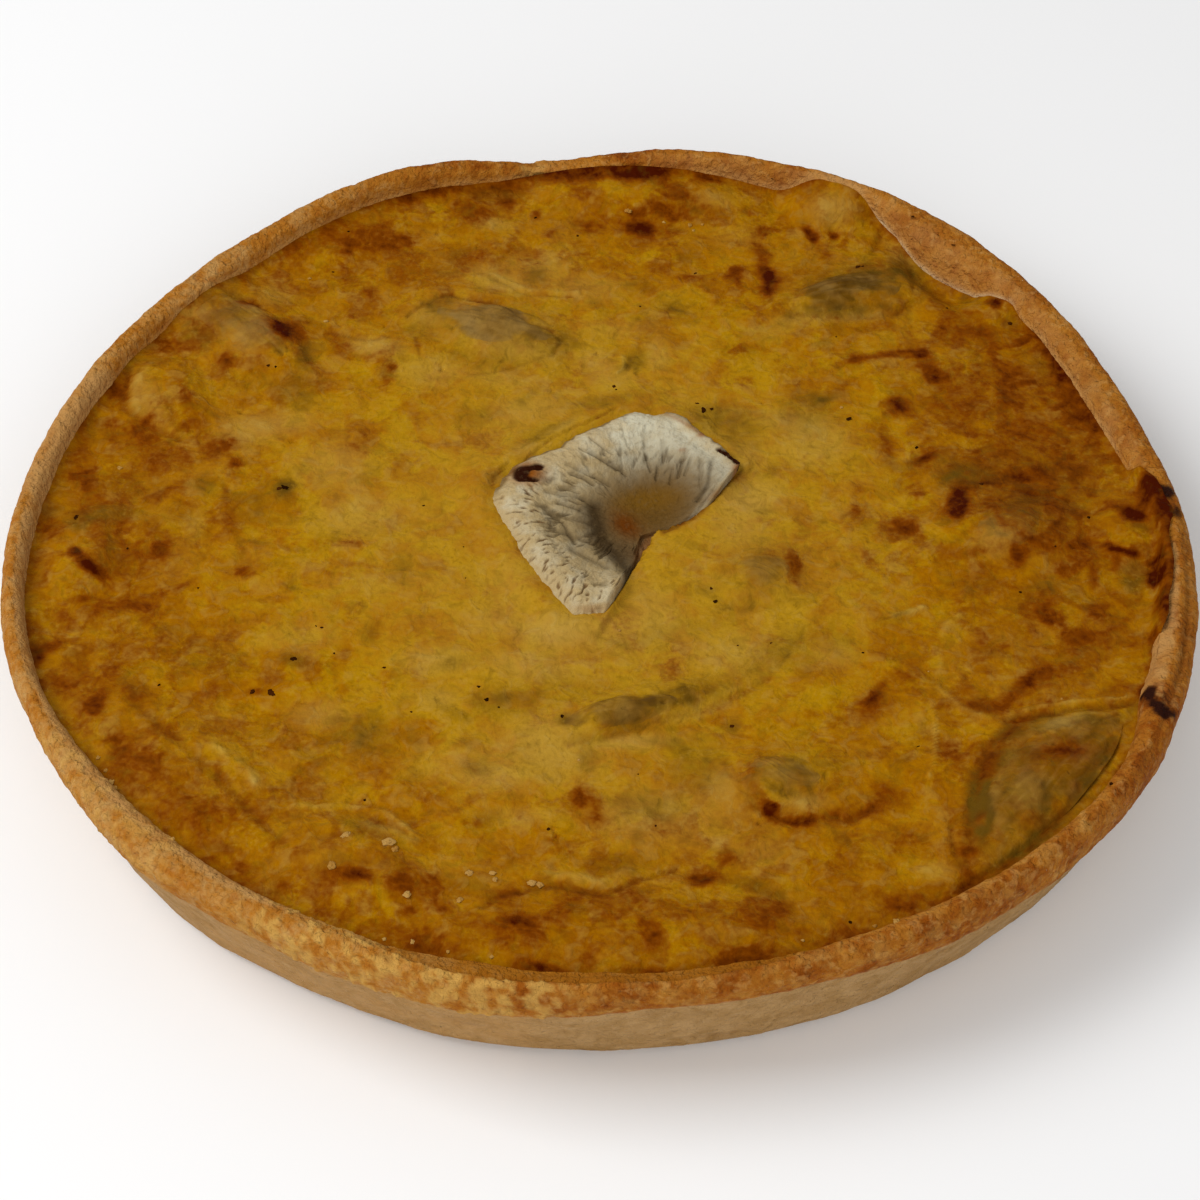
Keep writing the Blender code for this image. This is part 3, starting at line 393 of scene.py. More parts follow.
# Black and dark brown flecks: place and half size
FLECKS = (
    (2.6, 43.4, 0.7), (3.1, 42.2, 0.5), (21.5, 36.2, 1.0), (23, 36.8, 0.7), (20.2, 38.4, 0.6),
    (52, 33.6, 0.7), (65.7, 25.3, 0.7), (78.4, 14.4, 0.8), (86.2, 1.9, 0.7), (87.3, -2, 0.5),
    (99.7, 5, 0.7), (88.4, 64, 0.9), (56.2, 81, 0.9), (57.2, 81.4, 0.6), (50.5, 59.8, 0.4), (8.4, 69.3, 0.5),
    (20.5, 80, 0.5), (-5.4, 92.8, 0.5), (-14.7, 99, 0.5), (-71, 49, 0.6), (-69.4, 48.6, 0.5),
    (-59, 80.8, 0.5), (-75.8, 53.6, 0.4), (-65.4, 13.4, 1.1), (-66.6, 13.1, 0.7), (-81, -14.8, 0.5),
    (-64.5, -43, 1.2), (-68.2, -42.8, 0.8), (-60.5, -34.6, 0.8), (-86.6, -41.2, 0.4), (-96.3, -3.6, 0.4),
    (-42.7, -36.6, 0.5), (-45, -70, 0.5), (-24, -41.8, 0.5), (-22.4, -45.2, 0.7), (-7.6, -50.1, 0.8),
    (25.3, -51.6, 0.8), (22.8, -18.8, 0.6), (22, -15.4, 0.5), (27, -30.6, 0.4), (10.3, -76.8, 0.6),
    (-37, -48.2, 0.5), (45.8, -99.4, 0.8), (96.5, -69.6, 0.7),
    (-10, -77.5, 0.5), (-20, -47, 0.4), (-27.4, -12.6, 0.3), (-28, -4, 0.3), (-36.6, 8, 0.4),
    (-107.4, 4.2, 0.9), (84, -16, 0.5), (92, -4, 0.4), (-56.7, -25.3, 0.4), (-55.6, -25.8, 0.4),
    (-52.8, -32.7, 0.4), (33.6, -30, 0.4), (75, 69, 0.5), (38.2, 108.4, 0.5), (68.6, 92.6, 0.7),
    (77, 83.6, 0.6), (-56.1, 92.5, 0.5), (51.6, -32.5, 0.4), (61, -57, 0.4), (7, -64, 0.3),
)
# Pale crumbs of pastry lying on the custard and along the lip: place and half size
CRUMBS = (
    (-48, -80.4, 0.9), (-50.2, -87.8, 0.8), (-40, -82, 1.2), (-38.8, -83.4, 0.9), (-36, -94, 0.9),
    (-24.7, -88.3, 0.9), (-20.3, -88, 0.6), (-19.8, -89.6, 0.7), (-12.9, -90.6, 0.9), (-11.4, -91, 0.8),
    (-26.3, -95, 0.7), (6, 99.3, 0.8), (13.8, 97, 0.4), (19.6, 96.4, 0.7), (22.4, 96.6, 0.4),
    (20.4, 94.8, 0.4), (-59.6, 64.2, 0.6), (64.3, -37.3, 0.3), (89.7, -45, 0.3), (54, -102.4, 0.6),
    (3.6, -26.8, 0.4), (-4.4, -60.4, 0.4), (50.6, 37.2, 0.4), (-100, 19.6, 0.5), (-64, 78.6, 0.4),
    (-34.6, -104.6, 0.5), (-39.8, -103.8, 0.4), (-28, -107.2, 0.4), (-20, -108.6, 0.4), (37, -104, 0.4),
    (50.4, -100.2, 0.4), (-93.6, -66.4, 0.7), (-94.8, -63.6, 0.6), (-92.6, -68.2, 0.5), (-96.6, -60.2, 0.5),
    (-80, -83.4, 0.5),
)


def smooth_step(value, low, high):
    """0 below low, 1 above high, and a smooth ramp between them."""
    part = np.clip((value - low) / (high - low), 0.0, 1.0)
    return part * part * (3.0 - 2.0 * part)


def noise(x, y, z, seed):
    """Gradient noise, about one bump per unit and from -1 to 1.

    Every whole-number corner of space has a random slope.  At a point, the slopes' planes from its
    eight corners are added, each weighted by a curve that eases from 1 at its corner to 0 at the next.
    """
    generator = np.random.default_rng(seed)
    order = generator.permutation(256)
    slopes = generator.normal(size=(256, 3))
    slopes /= np.linalg.norm(slopes, axis=1, keepdims=True)
    place = np.broadcast_arrays(x, y, z)
    corner = [np.floor(value).astype(np.int64) for value in place]
    part = [value - low for value, low in zip(place, corner)]
    ease = [p * p * p * (p * (6.0 * p - 15.0) + 10.0) for p in part]
    total = np.zeros(place[0].shape)
    for step in product((0, 1), repeat=3):
        pick = np.zeros(place[0].shape, dtype=np.int64)
        weight = 1.0
        for low, ahead, eased in zip(corner, step, ease):
            pick = order[(pick + low + ahead) & 255]
            weight = weight * (eased if ahead else 1.0 - eased)
        slope = slopes[pick]
        rise = sum(slope[..., axis] * (part[axis] - step[axis]) for axis in range(3))
        total += weight * rise
    return 1.5 * total


def clouds(x, y, z, size, octaves, seed):
    """Noise of falling size: each octave is half as large and half as strong as the one before."""
    total = np.zeros(np.broadcast(x, y, z).shape)
    for octave in range(octaves):
        fine = 2.0 ** octave / size
        total += noise(x * fine, y * fine, z * fine, seed + octave) / 2.0 ** octave
    return total


def turned(x, y, middle, turn):
    """Distances from middle along a direction turned from +X by turn degrees, and across it."""
    turn = np.radians(turn)
    away_x, away_y = x - middle[0], y - middle[1]
    return away_x * np.cos(turn) + away_y * np.sin(turn), away_y * np.cos(turn) - away_x * np.sin(turn)


def blots(x, y, marks):
    """Sum of soft oval patches, each its depth inside and fading as exp(-distance cubed)."""
    total = np.zeros_like(x)
    for mark in marks:
        along, across = turned(x, y, (mark.x, mark.y), mark.turn)
        total += mark.depth * np.exp(-((along / mark.long) ** 2 + (across / mark.wide) ** 2) ** 1.5)
    return total


def strokes(x, y, paths):
    """Sum of soft lines: depth times a bell of the distance to the nearest point of each line's path."""
    total = np.zeros_like(x)
    for stroke in paths:
        nearest = np.full_like(x, np.inf)
        for (x0, y0), (x1, y1) in zip(stroke.path[:-1], stroke.path[1:]):
            length2 = (x1 - x0) ** 2 + (y1 - y0) ** 2
            part = np.clip(((x - x0) * (x1 - x0) + (y - y0) * (y1 - y0)) / length2, 0.0, 1.0)
            nearest = np.minimum(nearest, np.hypot(x - x0 - part * (x1 - x0), y - y0 - part * (y1 - y0)))
        total += stroke.depth * np.exp(-(nearest / stroke.width) ** 2)
    return total


# ---- The pressed case ----

def azimuth_bell(azimuth, at, width):
    """Bell round one azimuth, with its place and width in degrees."""
    away = (np.degrees(azimuth) - at + 180.0) % 360.0 - 180.0
    return np.exp(-0.5 * (away / width) ** 2)


def edge_wave(azimuth, kind):
    """Sum of the pressed edge's waves of one kind at each azimuth."""
    return sum(getattr(wave, kind) * azimuth_bell(azimuth, wave.at, wave.width) for wave in WAVES)


def rim_growth(azimuth, height):
    """How far the wall stands out of its plain circle: fully at the lip, less towards the base."""
    growth = OVAL * np.cos(2.0 * azimuth) + edge_wave(azimuth, "out")
    return growth * (BASE_SHARE + (1.0 - BASE_SHARE) * np.clip(height / RIM_HEIGHT, 0.0, 1.0))


def plain_wall(height):
    """Outer radius of the plain wall under the lip."""
    return RIM_RADIUS - LIP_PROUD - TAPER * np.clip(1.0 - height / LIP_FOOT, 0.0, 1.0)


def added_thickness(azimuth, height):
    """Thickness that the folded edge adds on the inside, from half height upwards."""
    return edge_wave(azimuth, "thick") * smooth_step(height, FOLD_FROM, LEVEL)


def inner_radius(azimuth):
    """Radius of the case's inner face where the custard meets it."""
    plain = plain_wall(LEVEL) - WALL
    return plain + rim_growth(azimuth, LEVEL) - added_thickness(azimuth, LEVEL)


def rim_top(azimuth):
    """Height of the rim."""
    return RIM_HEIGHT + edge_wave(azimuth, "up")


def filling_top(x, y):
    """Height of the plain custard: a low crown with the named lumps on it, always under the rim."""
    height = LEVEL + CROWN * (1.0 - (np.hypot(x, y) / RIM_RADIUS) ** 2)
    for lump in LUMPS:
        along, across = turned(x, y, (lump.x, lump.y), lump.turn)
        height = height + lump.rise * np.exp(-((along / lump.length) ** 2 + (across / lump.width) ** 2) ** 2)
    return np.minimum(height, rim_top(np.arctan2(y, x)) - RIM_CLEAR)


def press_wall(radius, azimuth, height):
    """Move points of the plain case to the pressed one.

    The radius changes with the edge's waves, and on the inner face with the folds' thickness.  The
    height stretches so that the rim follows its waves, and the inner face's row at LEVEL follows the
    custard's edge.
    """
    inside = np.clip((plain_wall(height) - radius) / WALL, 0.0, 1.0)
    pressed = radius * (1.0 + rim_growth(azimuth, height) / RIM_RADIUS)
    pressed = pressed - inside * added_thickness(azimuth, height)
    edge = inner_radius(azimuth)
    contact = filling_top(edge * np.cos(azimuth), edge * np.sin(azimuth))
    top = rim_top(azimuth)
    below = FLOOR + (height - FLOOR) * (contact - FLOOR) / (LEVEL - FLOOR)
    above = contact + (height - LEVEL) * (top - contact) / (RIM_HEIGHT - LEVEL)
    inner = np.where(height > LEVEL, above, np.where(height > FLOOR, below, height))
    outer = height * top / RIM_HEIGHT
    return pressed, (1.0 - inside) * outer + inside * inner


def straight_run(start, end, count):
    """Points from start towards end, evenly spaced, without the end itself."""
    part = np.arange(count)[:, None] / count
    return np.array(start) * (1.0 - part) + np.array(end) * part


def eased_run(points, count):
    """Catmull-Rom curve through points, count steps to a span, without the last point.

    Each span is the cubic whose slope at both its ends is half the way between the neighbours there.
    """
    ends = np.array([points[0], *points, points[-1]], float)
    before, start, end, after = ends[:-3], ends[1:-2], ends[2:-1], ends[3:]
    part = (np.arange(count) / count)[None, :, None]
    before, start, end, after = (value[:, None, :] for value in (before, start, end, after))
    curve = start + 0.5 * part * (end - before + part * (
        2.0 * before - 5.0 * start + 4.0 * end - after + part * (3.0 * (start - end) + after - before)))
    return curve.reshape(-1, 2)


def case_section():
    """Section of the case as radius and height, from its floor over the rim and down to its base."""
    base = plain_wall(0.0)
    inner = [(plain_wall(height) - WALL, height) for height in (FLOOR, 12.0, 20.0, LEVEL - 1.5)]
    lip = [
        (plain_wall(LEVEL - 1.5) - WALL, LEVEL - 1.5),
        (plain_wall(LEVEL) - WALL, LEVEL + 0.4),
        (RIM_RADIUS - WALL - 0.9, RIM_HEIGHT - 3.0),
        (RIM_RADIUS - WALL - 0.5, RIM_HEIGHT - 1.4),
        (RIM_RADIUS - WALL + 0.6, RIM_HEIGHT - 0.3),
        (RIM_RADIUS - 0.5 * WALL, RIM_HEIGHT),
        (RIM_RADIUS - 0.9, RIM_HEIGHT - 0.7),
        (RIM_RADIUS, RIM_HEIGHT - 2.6),
        (RIM_RADIUS, RIM_HEIGHT - 5.0),
        (RIM_RADIUS - 0.5, LIP_FOOT + 0.3),
        (plain_wall(LIP_FOOT) - 0.2, LIP_FOOT - 0.9),
        (plain_wall(LIP_FOOT - 2.5), LIP_FOOT - 2.5),
    ]
    return np.concatenate([
        straight_run((0.3 * base, FLOOR), inner[0], 3),
        straight_run(inner[0], inner[1], 1),
        straight_run(inner[1], inner[2], 1),
        straight_run(inner[2], inner[3], 2),
        eased_run(lip, 4),
        straight_run(lip[-1], (plain_wall(BASE_ROUND), BASE_ROUND), 20),
        straight_run((plain_wall(BASE_ROUND), BASE_ROUND), (base - 0.5, 0.8), 2),
        straight_run((base - 0.5, 0.8), (base - 2.0, 0.0), 2),
        straight_run((base - 2.0, 0.0), (0.0, 0.0), 3),
    ])


def around_angles(sides):
    """Evenly spaced azimuths, once round, in radians."""
    return np.arange(sides) * 2.0 * np.pi / sides


def azimuth_span(azimuth, start, end, soft):
    """1 from start round to end, in degrees, easing to 0 over soft degrees past either."""
    away = np.abs((np.degrees(azimuth) - 0.5 * (start + end) + 180.0) % 360.0 - 180.0)
    return 1.0 - smooth_step(away, 0.5 * (end - start), 0.5 * (end - start) + soft)


def on_ledge(azimuth, across):
    """1 on the inner ledge of the rim in front, which is widest at the middle of the front."""
    reach = 0.2 + 3.2 * azimuth_span(azimuth, 258, 278, 18)
    return azimuth_span(azimuth, 256, 306, 10) * (1.0 - smooth_step(across, reach - 0.2, reach + 0.3))


def case_marks(x, y, z, azimuth, row_height, across):
    """Named looks of the case's skin, from 0 to 1 each.

    across is how far a point lies from the inner face towards the outer one.  Browning is patchy on
    the lip and least on the wall, which stood against the tin.  The lip is pale on its inner half along
    the left and on the right flap, and at the foot of the bare inner face behind.  It is coated with
    custard on its inner half in front, torn and crumbly at the front left, and burnt at the right.
    """
    on_lip = smooth_step(row_height, LIP_FOOT - 0.8, LIP_FOOT + 0.5)
    inner_half = on_lip * (1.0 - smooth_step(across + 0.5 * clouds(x, y, z, 3.0, 2, 39), 1.9, 2.5))
    edge = inner_radius(azimuth)
    above = z - filling_top(edge * np.cos(azimuth), edge * np.sin(azimuth))
    patches = clouds(x, y, z, 9.0, 4, 41)
    toast = 0.10 + 0.06 * patches + on_lip * (0.26 + 0.10 * patches)
    toast -= 0.10 * on_lip * azimuth_span(azimuth, 120, 250, 16)
    toast += 0.12 * on_lip * (1.0 - inner_half) * azimuth_span(azimuth, 262, 340, 16)
    toast += 0.10 * on_lip * azimuth_span(azimuth, 14, 76, 10)
    toast += (0.06 * on_lip * azimuth_span(azimuth, 78, 118, 12)
              + 0.10 * on_lip * azimuth_span(azimuth, 266, 335, 8))
    toast += 0.16 * inner_half * azimuth_span(azimuth, 168, 250, 12) * np.exp(-(above / 1.2) ** 2)
    near_x = x + 1.1 * clouds(x, y, z, 3.0, 3, 43)
    near_y = y + 1.1 * clouds(x, y, z + 50.0, 3.0, 3, 45)
    upper = smooth_step(row_height, LIP_FOOT, LEVEL)
    burnt = smooth_step(blots(near_x, near_y, CASE_BURNS), 0.25, 0.8) * upper
    scorched = blots(near_x, near_y, CASE_SCORCHED) * upper
    ragged_pale = 0.75 + 0.6 * clouds(x, y, z, 5.0, 3, 49)
    pale = 1.0 * inner_half * azimuth_span(azimuth, 160, 238, 5)
    pale += 0.9 * on_lip * azimuth_span(azimuth, 160, 174, 4)
    pale += 0.95 * inner_half * azimuth_span(azimuth, 337.5, 356, 2)
    pale += 0.5 * on_lip * azimuth_span(azimuth, 98, 160, 6) * np.exp(-((above - 1.0) / 0.8) ** 2)
    pale += 0.9 * azimuth_span(azimuth, 14, 76, 5) * np.exp(-((above - 0.6) / 1.4) ** 2)
    pale += 0.35 * azimuth_span(azimuth, 12, 80, 8) * inner_half
    pale += 0.6 * (1.0 - on_lip) * azimuth_span(azimuth, 232, 260, 8)
    torn = azimuth_span(azimuth, 38, 57, 2) * np.exp(-((above - 0.5) / 0.8) ** 2) * ragged_pale
    coat = on_ledge(azimuth, across + 0.3 * clouds(x, y, z, 3.0, 2, 51)) * on_lip
    crumb = azimuth_span(azimuth, 240, 262, 8) + 0.5 * azimuth_span(azimuth, 208, 226, 6)
    crumb += 0.7 * azimuth_span(azimuth, 97, 99.6, 1.0) + 0.3 * azimuth_span(azimuth, 262, 318, 10)
    crumb = crumb * on_lip * (1.0 - coat) * smooth_step(clouds(x, y, z, 2.6, 3, 53) + 0.25 * crumb, -0.1, 0.6)
    foot = azimuth_span(azimuth, 266, 306, 8) * np.exp(-((row_height - LIP_FOOT + 0.3) / 0.6) ** 2)
    marks = {"toast": toast + scorched, "pale": pale * ragged_pale * (1.0 - burnt), "coat": coat,
             "crumb": crumb, "torn": torn, "foot": foot, "burnt": burnt, "lip": on_lip}
    return {key: np.clip(value, 0.0, 1.0) for key, value in marks.items()}


def case_relief(x, y, z, azimuth, row_height, crumb):
    """How far the case's skin stands out: broad dents, crumbs, tin-pressed streaks, pores and cracks."""
    on_lip = smooth_step(row_height, LIP_FOOT - 1.5, LIP_FOOT + 0.5)
    dents = 0.32 * clouds(x, y, z, 11.0, 2, 61)
    crumbs = (0.08 + 0.08 * on_lip + 0.5 * crumb) * clouds(x, y, z, 1.6, 2, 67)
    arc = azimuth * RIM_RADIUS
    streaks = 0.16 * (1.0 - on_lip) * noise(arc / 17.0, z / 1.7, 0.0, 71)
    pores = smooth_step(noise(x / 2.3, y / 2.3, z / 2.3, 73), 0.42, 0.7)
    relief = dents + crumbs + streaks - 0.3 * pores * (0.3 + 0.7 * crumb)
    relief -= 0.3 * on_lip * azimuth_bell(azimuth, 98.3, 0.8) + 0.2 * on_lip * azimuth_bell(azimuth, 118, 0.2)
    return relief


def lip_sag(azimuth, row_height, across):
    """How far the lip's foot hangs lower on the outside, and the ledge inside it in front is sunk."""
    down_wall = smooth_step(row_height, 5.0, LIP_FOOT - 1.0)
    under_rim = 1.0 - smooth_step(row_height, LIP_FOOT, RIM_HEIGHT - 1.5)
    hang = azimuth_span(azimuth, 246, 262, 14) + 0.9 * azimuth_span(azimuth, 304, 332, 14)
    ledge = (LEDGE_SUNK * on_ledge(azimuth, across)
             * smooth_step(row_height, RIM_HEIGHT - 2.0, RIM_HEIGHT - 0.6))
    return LIP_SAG * hang * down_wall * under_rim * smooth_step(across, 2.0, 3.2) + ledge


def make_case(finish):
    """The case: its section turned round the axis, pressed out of round and given its crumbly skin."""
    section = case_section()
    azimuth, radius = np.meshgrid(around_angles(CASE_SIDES), section[:, 0])
    row_height = np.broadcast_to(section[:, 1:2], azimuth.shape)
    pressed, z = press_wall(radius, azimuth, row_height)
    points = np.stack([pressed * np.cos(azimuth), pressed * np.sin(azimuth), z], axis=-1)
    across = radius - plain_wall(row_height) + WALL
    marks = case_marks(points[..., 0], points[..., 1], z, azimuth, row_height, across)
    relief = case_relief(points[..., 0], points[..., 1], z, azimuth, row_height, marks["crumb"])
    points[..., 2] -= lip_sag(azimuth, row_height, across)
    furrow = azimuth_bell(azimuth, 344, 9) * np.exp(-((radius - RIM_RADIUS + 1.5) / 0.7) ** 2)
    relief -= 1.3 * furrow * smooth_step(row_height, RIM_HEIGHT - 3.0, RIM_HEIGHT - 1.0)
    shown = smooth_step(row_height, 0.4, 2.6) * smooth_step(radius, 0.8 * RIM_RADIUS, 0.9 * RIM_RADIUS)
    normal = unit_normals(np.gradient(points, axis=0), wrapped_gradient(points))
    points = points + normal * (relief * shown)[..., None]
    # Painted shade: the skin is darkened where its relief is sunk, in pores and dents
    marks["pore"] = smooth_step(-relief, 0.05, 0.6)
    case = turned_piece("pastry_case", points, (0.0, 0.0, FLOOR), (0.0, 0.0, 0.0), marks, finish)
    settle(case, "crust")


def wrapped_gradient(points):
    """Difference between the next and the last point along the columns, which close on themselves."""
    return 0.5 * (np.roll(points, -1, axis=1) - np.roll(points, 1, axis=1))


def unit_normals(down, along):
    """Unit normals of a grid of points, from its steps down the columns and along the rows."""
    normal = np.cross(down, along)
    return normal / np.maximum(np.linalg.norm(normal, axis=-1, keepdims=True), 1e-9)


# ---- The custard ----

def ragged(x, y, reach, size, seed):
    """Points pushed about by noise, so that what is drawn on them has ragged edges."""
    return x + reach * clouds(x, y, 0.0, size, 2, seed), y + reach * clouds(x, y, 9.0, size, 2, seed + 5)


def strand_pattern(x, y, size, seed):
    """Melted cheese: sharp ridges where noise crosses zero, on points swirled by larger noise."""
    swirl_x, swirl_y = ragged(x, y, 2.4 * size, 5.0 * size, seed)
    stretched = noise(swirl_x / (2.2 * size), swirl_y / size, 0.0, seed + 11)
    return 1.0 - np.minimum(1.0, 3.0 * np.abs(stretched))


def custard_marks(x, y):
    """Browning, lemon tint, paleness and olive stain of the custard at each point, from 0 to 1 each.

    Browning rises towards the case and over the named patches, plus noise on swirled points.
    Along the creases browning and olive stand partly for painted shade, and on the ridges paleness partly for
    a painted highlight.
    """
    seen_y = y + SEEN_LEAN * (filling_top(x, y) - SEEN_LEVEL)
    near_x, near_y = ragged(x, seen_y, 0.4, 2.6, 101)
    wide_x, wide_y = ragged(x, y, 6.0, 17.0, 107)
    radius = np.hypot(x, y)
    to_wall = inner_radius(np.arctan2(y, x)) - radius
    patches = clouds(wide_x, wide_y, 0.0, 9.0, 2, 113)
    middle = 1.0 - smooth_step(radius, 30.0, 68.0)
    toast = 0.28 + 0.165 * smooth_step(radius, 52.0, 95.0) + 0.15 * patches
    toast += blots(near_x, near_y, TOASTED)
    toast += 0.12 * np.exp(-to_wall / 2.0)
    creases = strokes(near_x, near_y, CREASES)
    ridges = strokes(near_x, near_y, RIDGES)
    # Creases darkened by painted shade and ridges lightened by a painted highlight, on top of their own
    # browning
    toast += 0.2 * creases - 0.12 * ridges
    lemon = (0.35 + 0.2 * middle - 0.5 * smooth_step(radius, 55.0, 90.0)
             + 0.4 * clouds(wide_x, wide_y, 7.0, 13.0, 3, 139))
    strands = strand_pattern(wide_x, wide_y, 3.4, 127)
    veil = smooth_step(clouds(x, y, 0.0, 24.0, 2, 131), -0.35, 0.35)
    broken = 0.5 + 0.7 * clouds(x, y, 5.0, 3.0, 2, 141)
    # The ridges' paleness is partly a painted highlight
    pale = 0.75 * blots(near_x, near_y, PALE) + 0.13 * middle + 0.08 * strands * veil + 0.7 * ridges * broken
    pale *= 1.0 - smooth_step(toast, 0.55, 0.9)
    stained = blots(near_x, near_y, OLIVE)
    # The creases' olive is partly painted shade
    olive = 1.1 * stained * (0.85 + 0.5 * clouds(x, y, 3.0, 3.0, 2, 137)) + 0.3 * creases
    olive += 0.4 * smooth_step(clouds(wide_x, wide_y, 11.0, 7.0, 3, 143), 0.2, 1.1)
    olive *= 1.0 - smooth_step(toast, 0.6, 0.85)
    marks = {"toast": toast, "lemon": lemon, "pale": pale, "olive": olive}
    return {key: np.clip(value, 0.0, 1.0) for key, value in marks.items()}


def overflow(azimuth):
    """How far the custard ran out over the rim at the right."""
    ragged_flow = 1.0 + 0.35 * clouds(12.0 * np.cos(azimuth), 12.0 * np.sin(azimuth), 0.0, 1.0, 3, 89)
    return sum(reach * azimuth_bell(azimuth, at, width) for at, width, reach in OVERFLOWS) * ragged_flow


def custard_relief(x, y):
    """Fine relief of the baked skin over the plain custard.

    Broad swells, faint swirled strands, scattered pits and the named creases and ridges; it fades
    out where the custard runs into the case.  Round the cup of heart the custard is pushed up, and
    where it ran over the rim it lies on the pastry.
    """
    seen_y = y + SEEN_LEAN * (filling_top(x, y) - SEEN_LEVEL)
    wide_x, wide_y = ragged(x, y, 4.0, 17.0, 107)
    near_x, near_y = ragged(x, seen_y, 0.5, 2.6, 101)
    swells = (0.5 * clouds(wide_x, wide_y, 0.0, 11.0, 2, 149)
              + 0.10 * clouds(wide_x, wide_y, 5.0, 3.6, 2, 157))
    strands = 0.12 * strand_pattern(wide_x, wide_y, 3.0, 151)
    pits = -0.45 * smooth_step(noise(x / 2.2, y / 2.2, 0.0, 163), 0.6, 0.85)
    lines = 0.5 * strokes(near_x, near_y, RIDGES) - 0.5 * strokes(near_x, near_y, CREASES)
    crust = 0.2 * blots(near_x, near_y, TOASTED)
    blister_pits = -0.6 * blots(x, y, BLISTER_PITS)
    azimuth = np.arctan2(y, x)
    to_wall = inner_radius(azimuth) - np.hypot(x, y)
    calm = smooth_step(to_wall, -0.4, 2.0)
    climb = 0.8 * np.exp(-np.maximum(to_wall, 0.0) / 1.0)
    ran_over = smooth_step(overflow(azimuth), 0.3, 1.1) * (1.0 - smooth_step(to_wall, -1.3, 0.9))
    onto_rim = np.maximum(rim_top(azimuth) + 0.3 - filling_top(x, y) - climb, 0.0) * ran_over
    part, round_heart = heart_part(x, y)
    pushed_up = HEART_SWELL * heart_fleshy(round_heart) * np.exp(-((part - 1.07) / 0.13) ** 2)
    return calm * (swells + strands + pits + lines + crust) + blister_pits + climb + onto_rim + pushed_up


def heart_part(x, y):
    """Where points lie on the cup of heart: their share of its reach, and the azimuth round its middle."""
    away_x, away_y = x - HEART_MIDDLE[0], y - HEART_MIDDLE[1]
    azimuth = np.arctan2(away_y, away_x)
    return np.hypot(away_x, away_y) / heart_reach(azimuth), azimuth


def custard_top(x, y):
    """Height of the finished custard surface."""
    return filling_top(x, y) + custard_relief(x, y)


def square_to_disc(u, v):
    """Square grid to unit disc: nested squares become circles, each side a quarter of the way round."""
    wide = np.abs(u) > np.abs(v)
    big = np.where(wide, u, v)
    small = np.where(wide, v, u)
    lean = np.pi / 4.0 * small / np.where(big == 0.0, 1.0, big)
    angle = np.where(wide, lean, np.pi / 2.0 - lean)
    return big * np.cos(angle), big * np.sin(angle)


def heart_pocket(x, y):
    """How far the custard is sunk to make room for the cup of heart."""
    return POCKET_DEPTH * (1.0 - smooth_step(heart_part(x, y)[0], 0.86, 0.95))


def make_custard(finish):
    """Both halves of the custard: one height field over the disc, cut along its middle and given sides."""
    line = np.linspace(-1.0, 1.0, CUSTARD_CELLS + 1)
    u, v = np.meshgrid(line, line, indexing="ij")
    disc_x, disc_y = square_to_disc(u, v)
    azimuth = np.arctan2(disc_y, disc_x)
    reach = inner_radius(azimuth) + INTO_CASE + overflow(azimuth)
    x, y = disc_x * reach, disc_y * reach
    points = np.stack([x, y, custard_top(x, y) - heart_pocket(x, y)], axis=-1)
    marks = custard_marks(x, y)
    normal = unit_normals(np.gradient(points, axis=0), np.gradient(points, axis=1))
    middle = CUSTARD_CELLS // 2
    for name, part in (("custard_left", slice(0, middle + 1)), ("custard_right", slice(middle, None))):
        half_marks = {key: value[part] for key, value in marks.items()}
        half = slab_piece(name, points[part], normal[part], half_marks, finish)
        settle(half, "filling")


# ---- The artichoke ----

def leaf_reach(azimuth, leaf):
    """Distance from a leaf's middle to its outline: a rounded diamond or box with a slight wobble."""
    turned = azimuth - np.radians(leaf.turn)
    along = np.abs(np.cos(turned) / leaf.length) ** leaf.power
    across = np.abs(np.sin(turned) / leaf.width) ** leaf.power
    wobble = 1.0 + WOBBLE * (np.sin(3.0 * turned + leaf.x) + 0.6 * np.sin(5.0 * turned + leaf.y))
    return wobble * (along + across) ** (-1.0 / leaf.power)


def keep_off_wall(x, y, clear):
    """Pull points that would cross the case's wall straight back towards the pie's middle."""
    limit = inner_radius(np.arctan2(y, x)) - clear
    scale = np.minimum(1.0, limit / np.maximum(np.hypot(x, y), 0.001))
    return x * scale, y * scale


def with_underside(x, y, top, middle, share, floor):
    """Rings of a top surface, and one more at floor: the last ring drawn in to share of its reach."""
    low_x, low_y = (centre + share * (value[-1:] - centre) for value, centre in zip((x, y), middle))
    under = np.stack([low_x, low_y, np.full_like(low_x, floor)], axis=-1)
    return np.concatenate([np.stack([x, y, top], axis=-1), under])


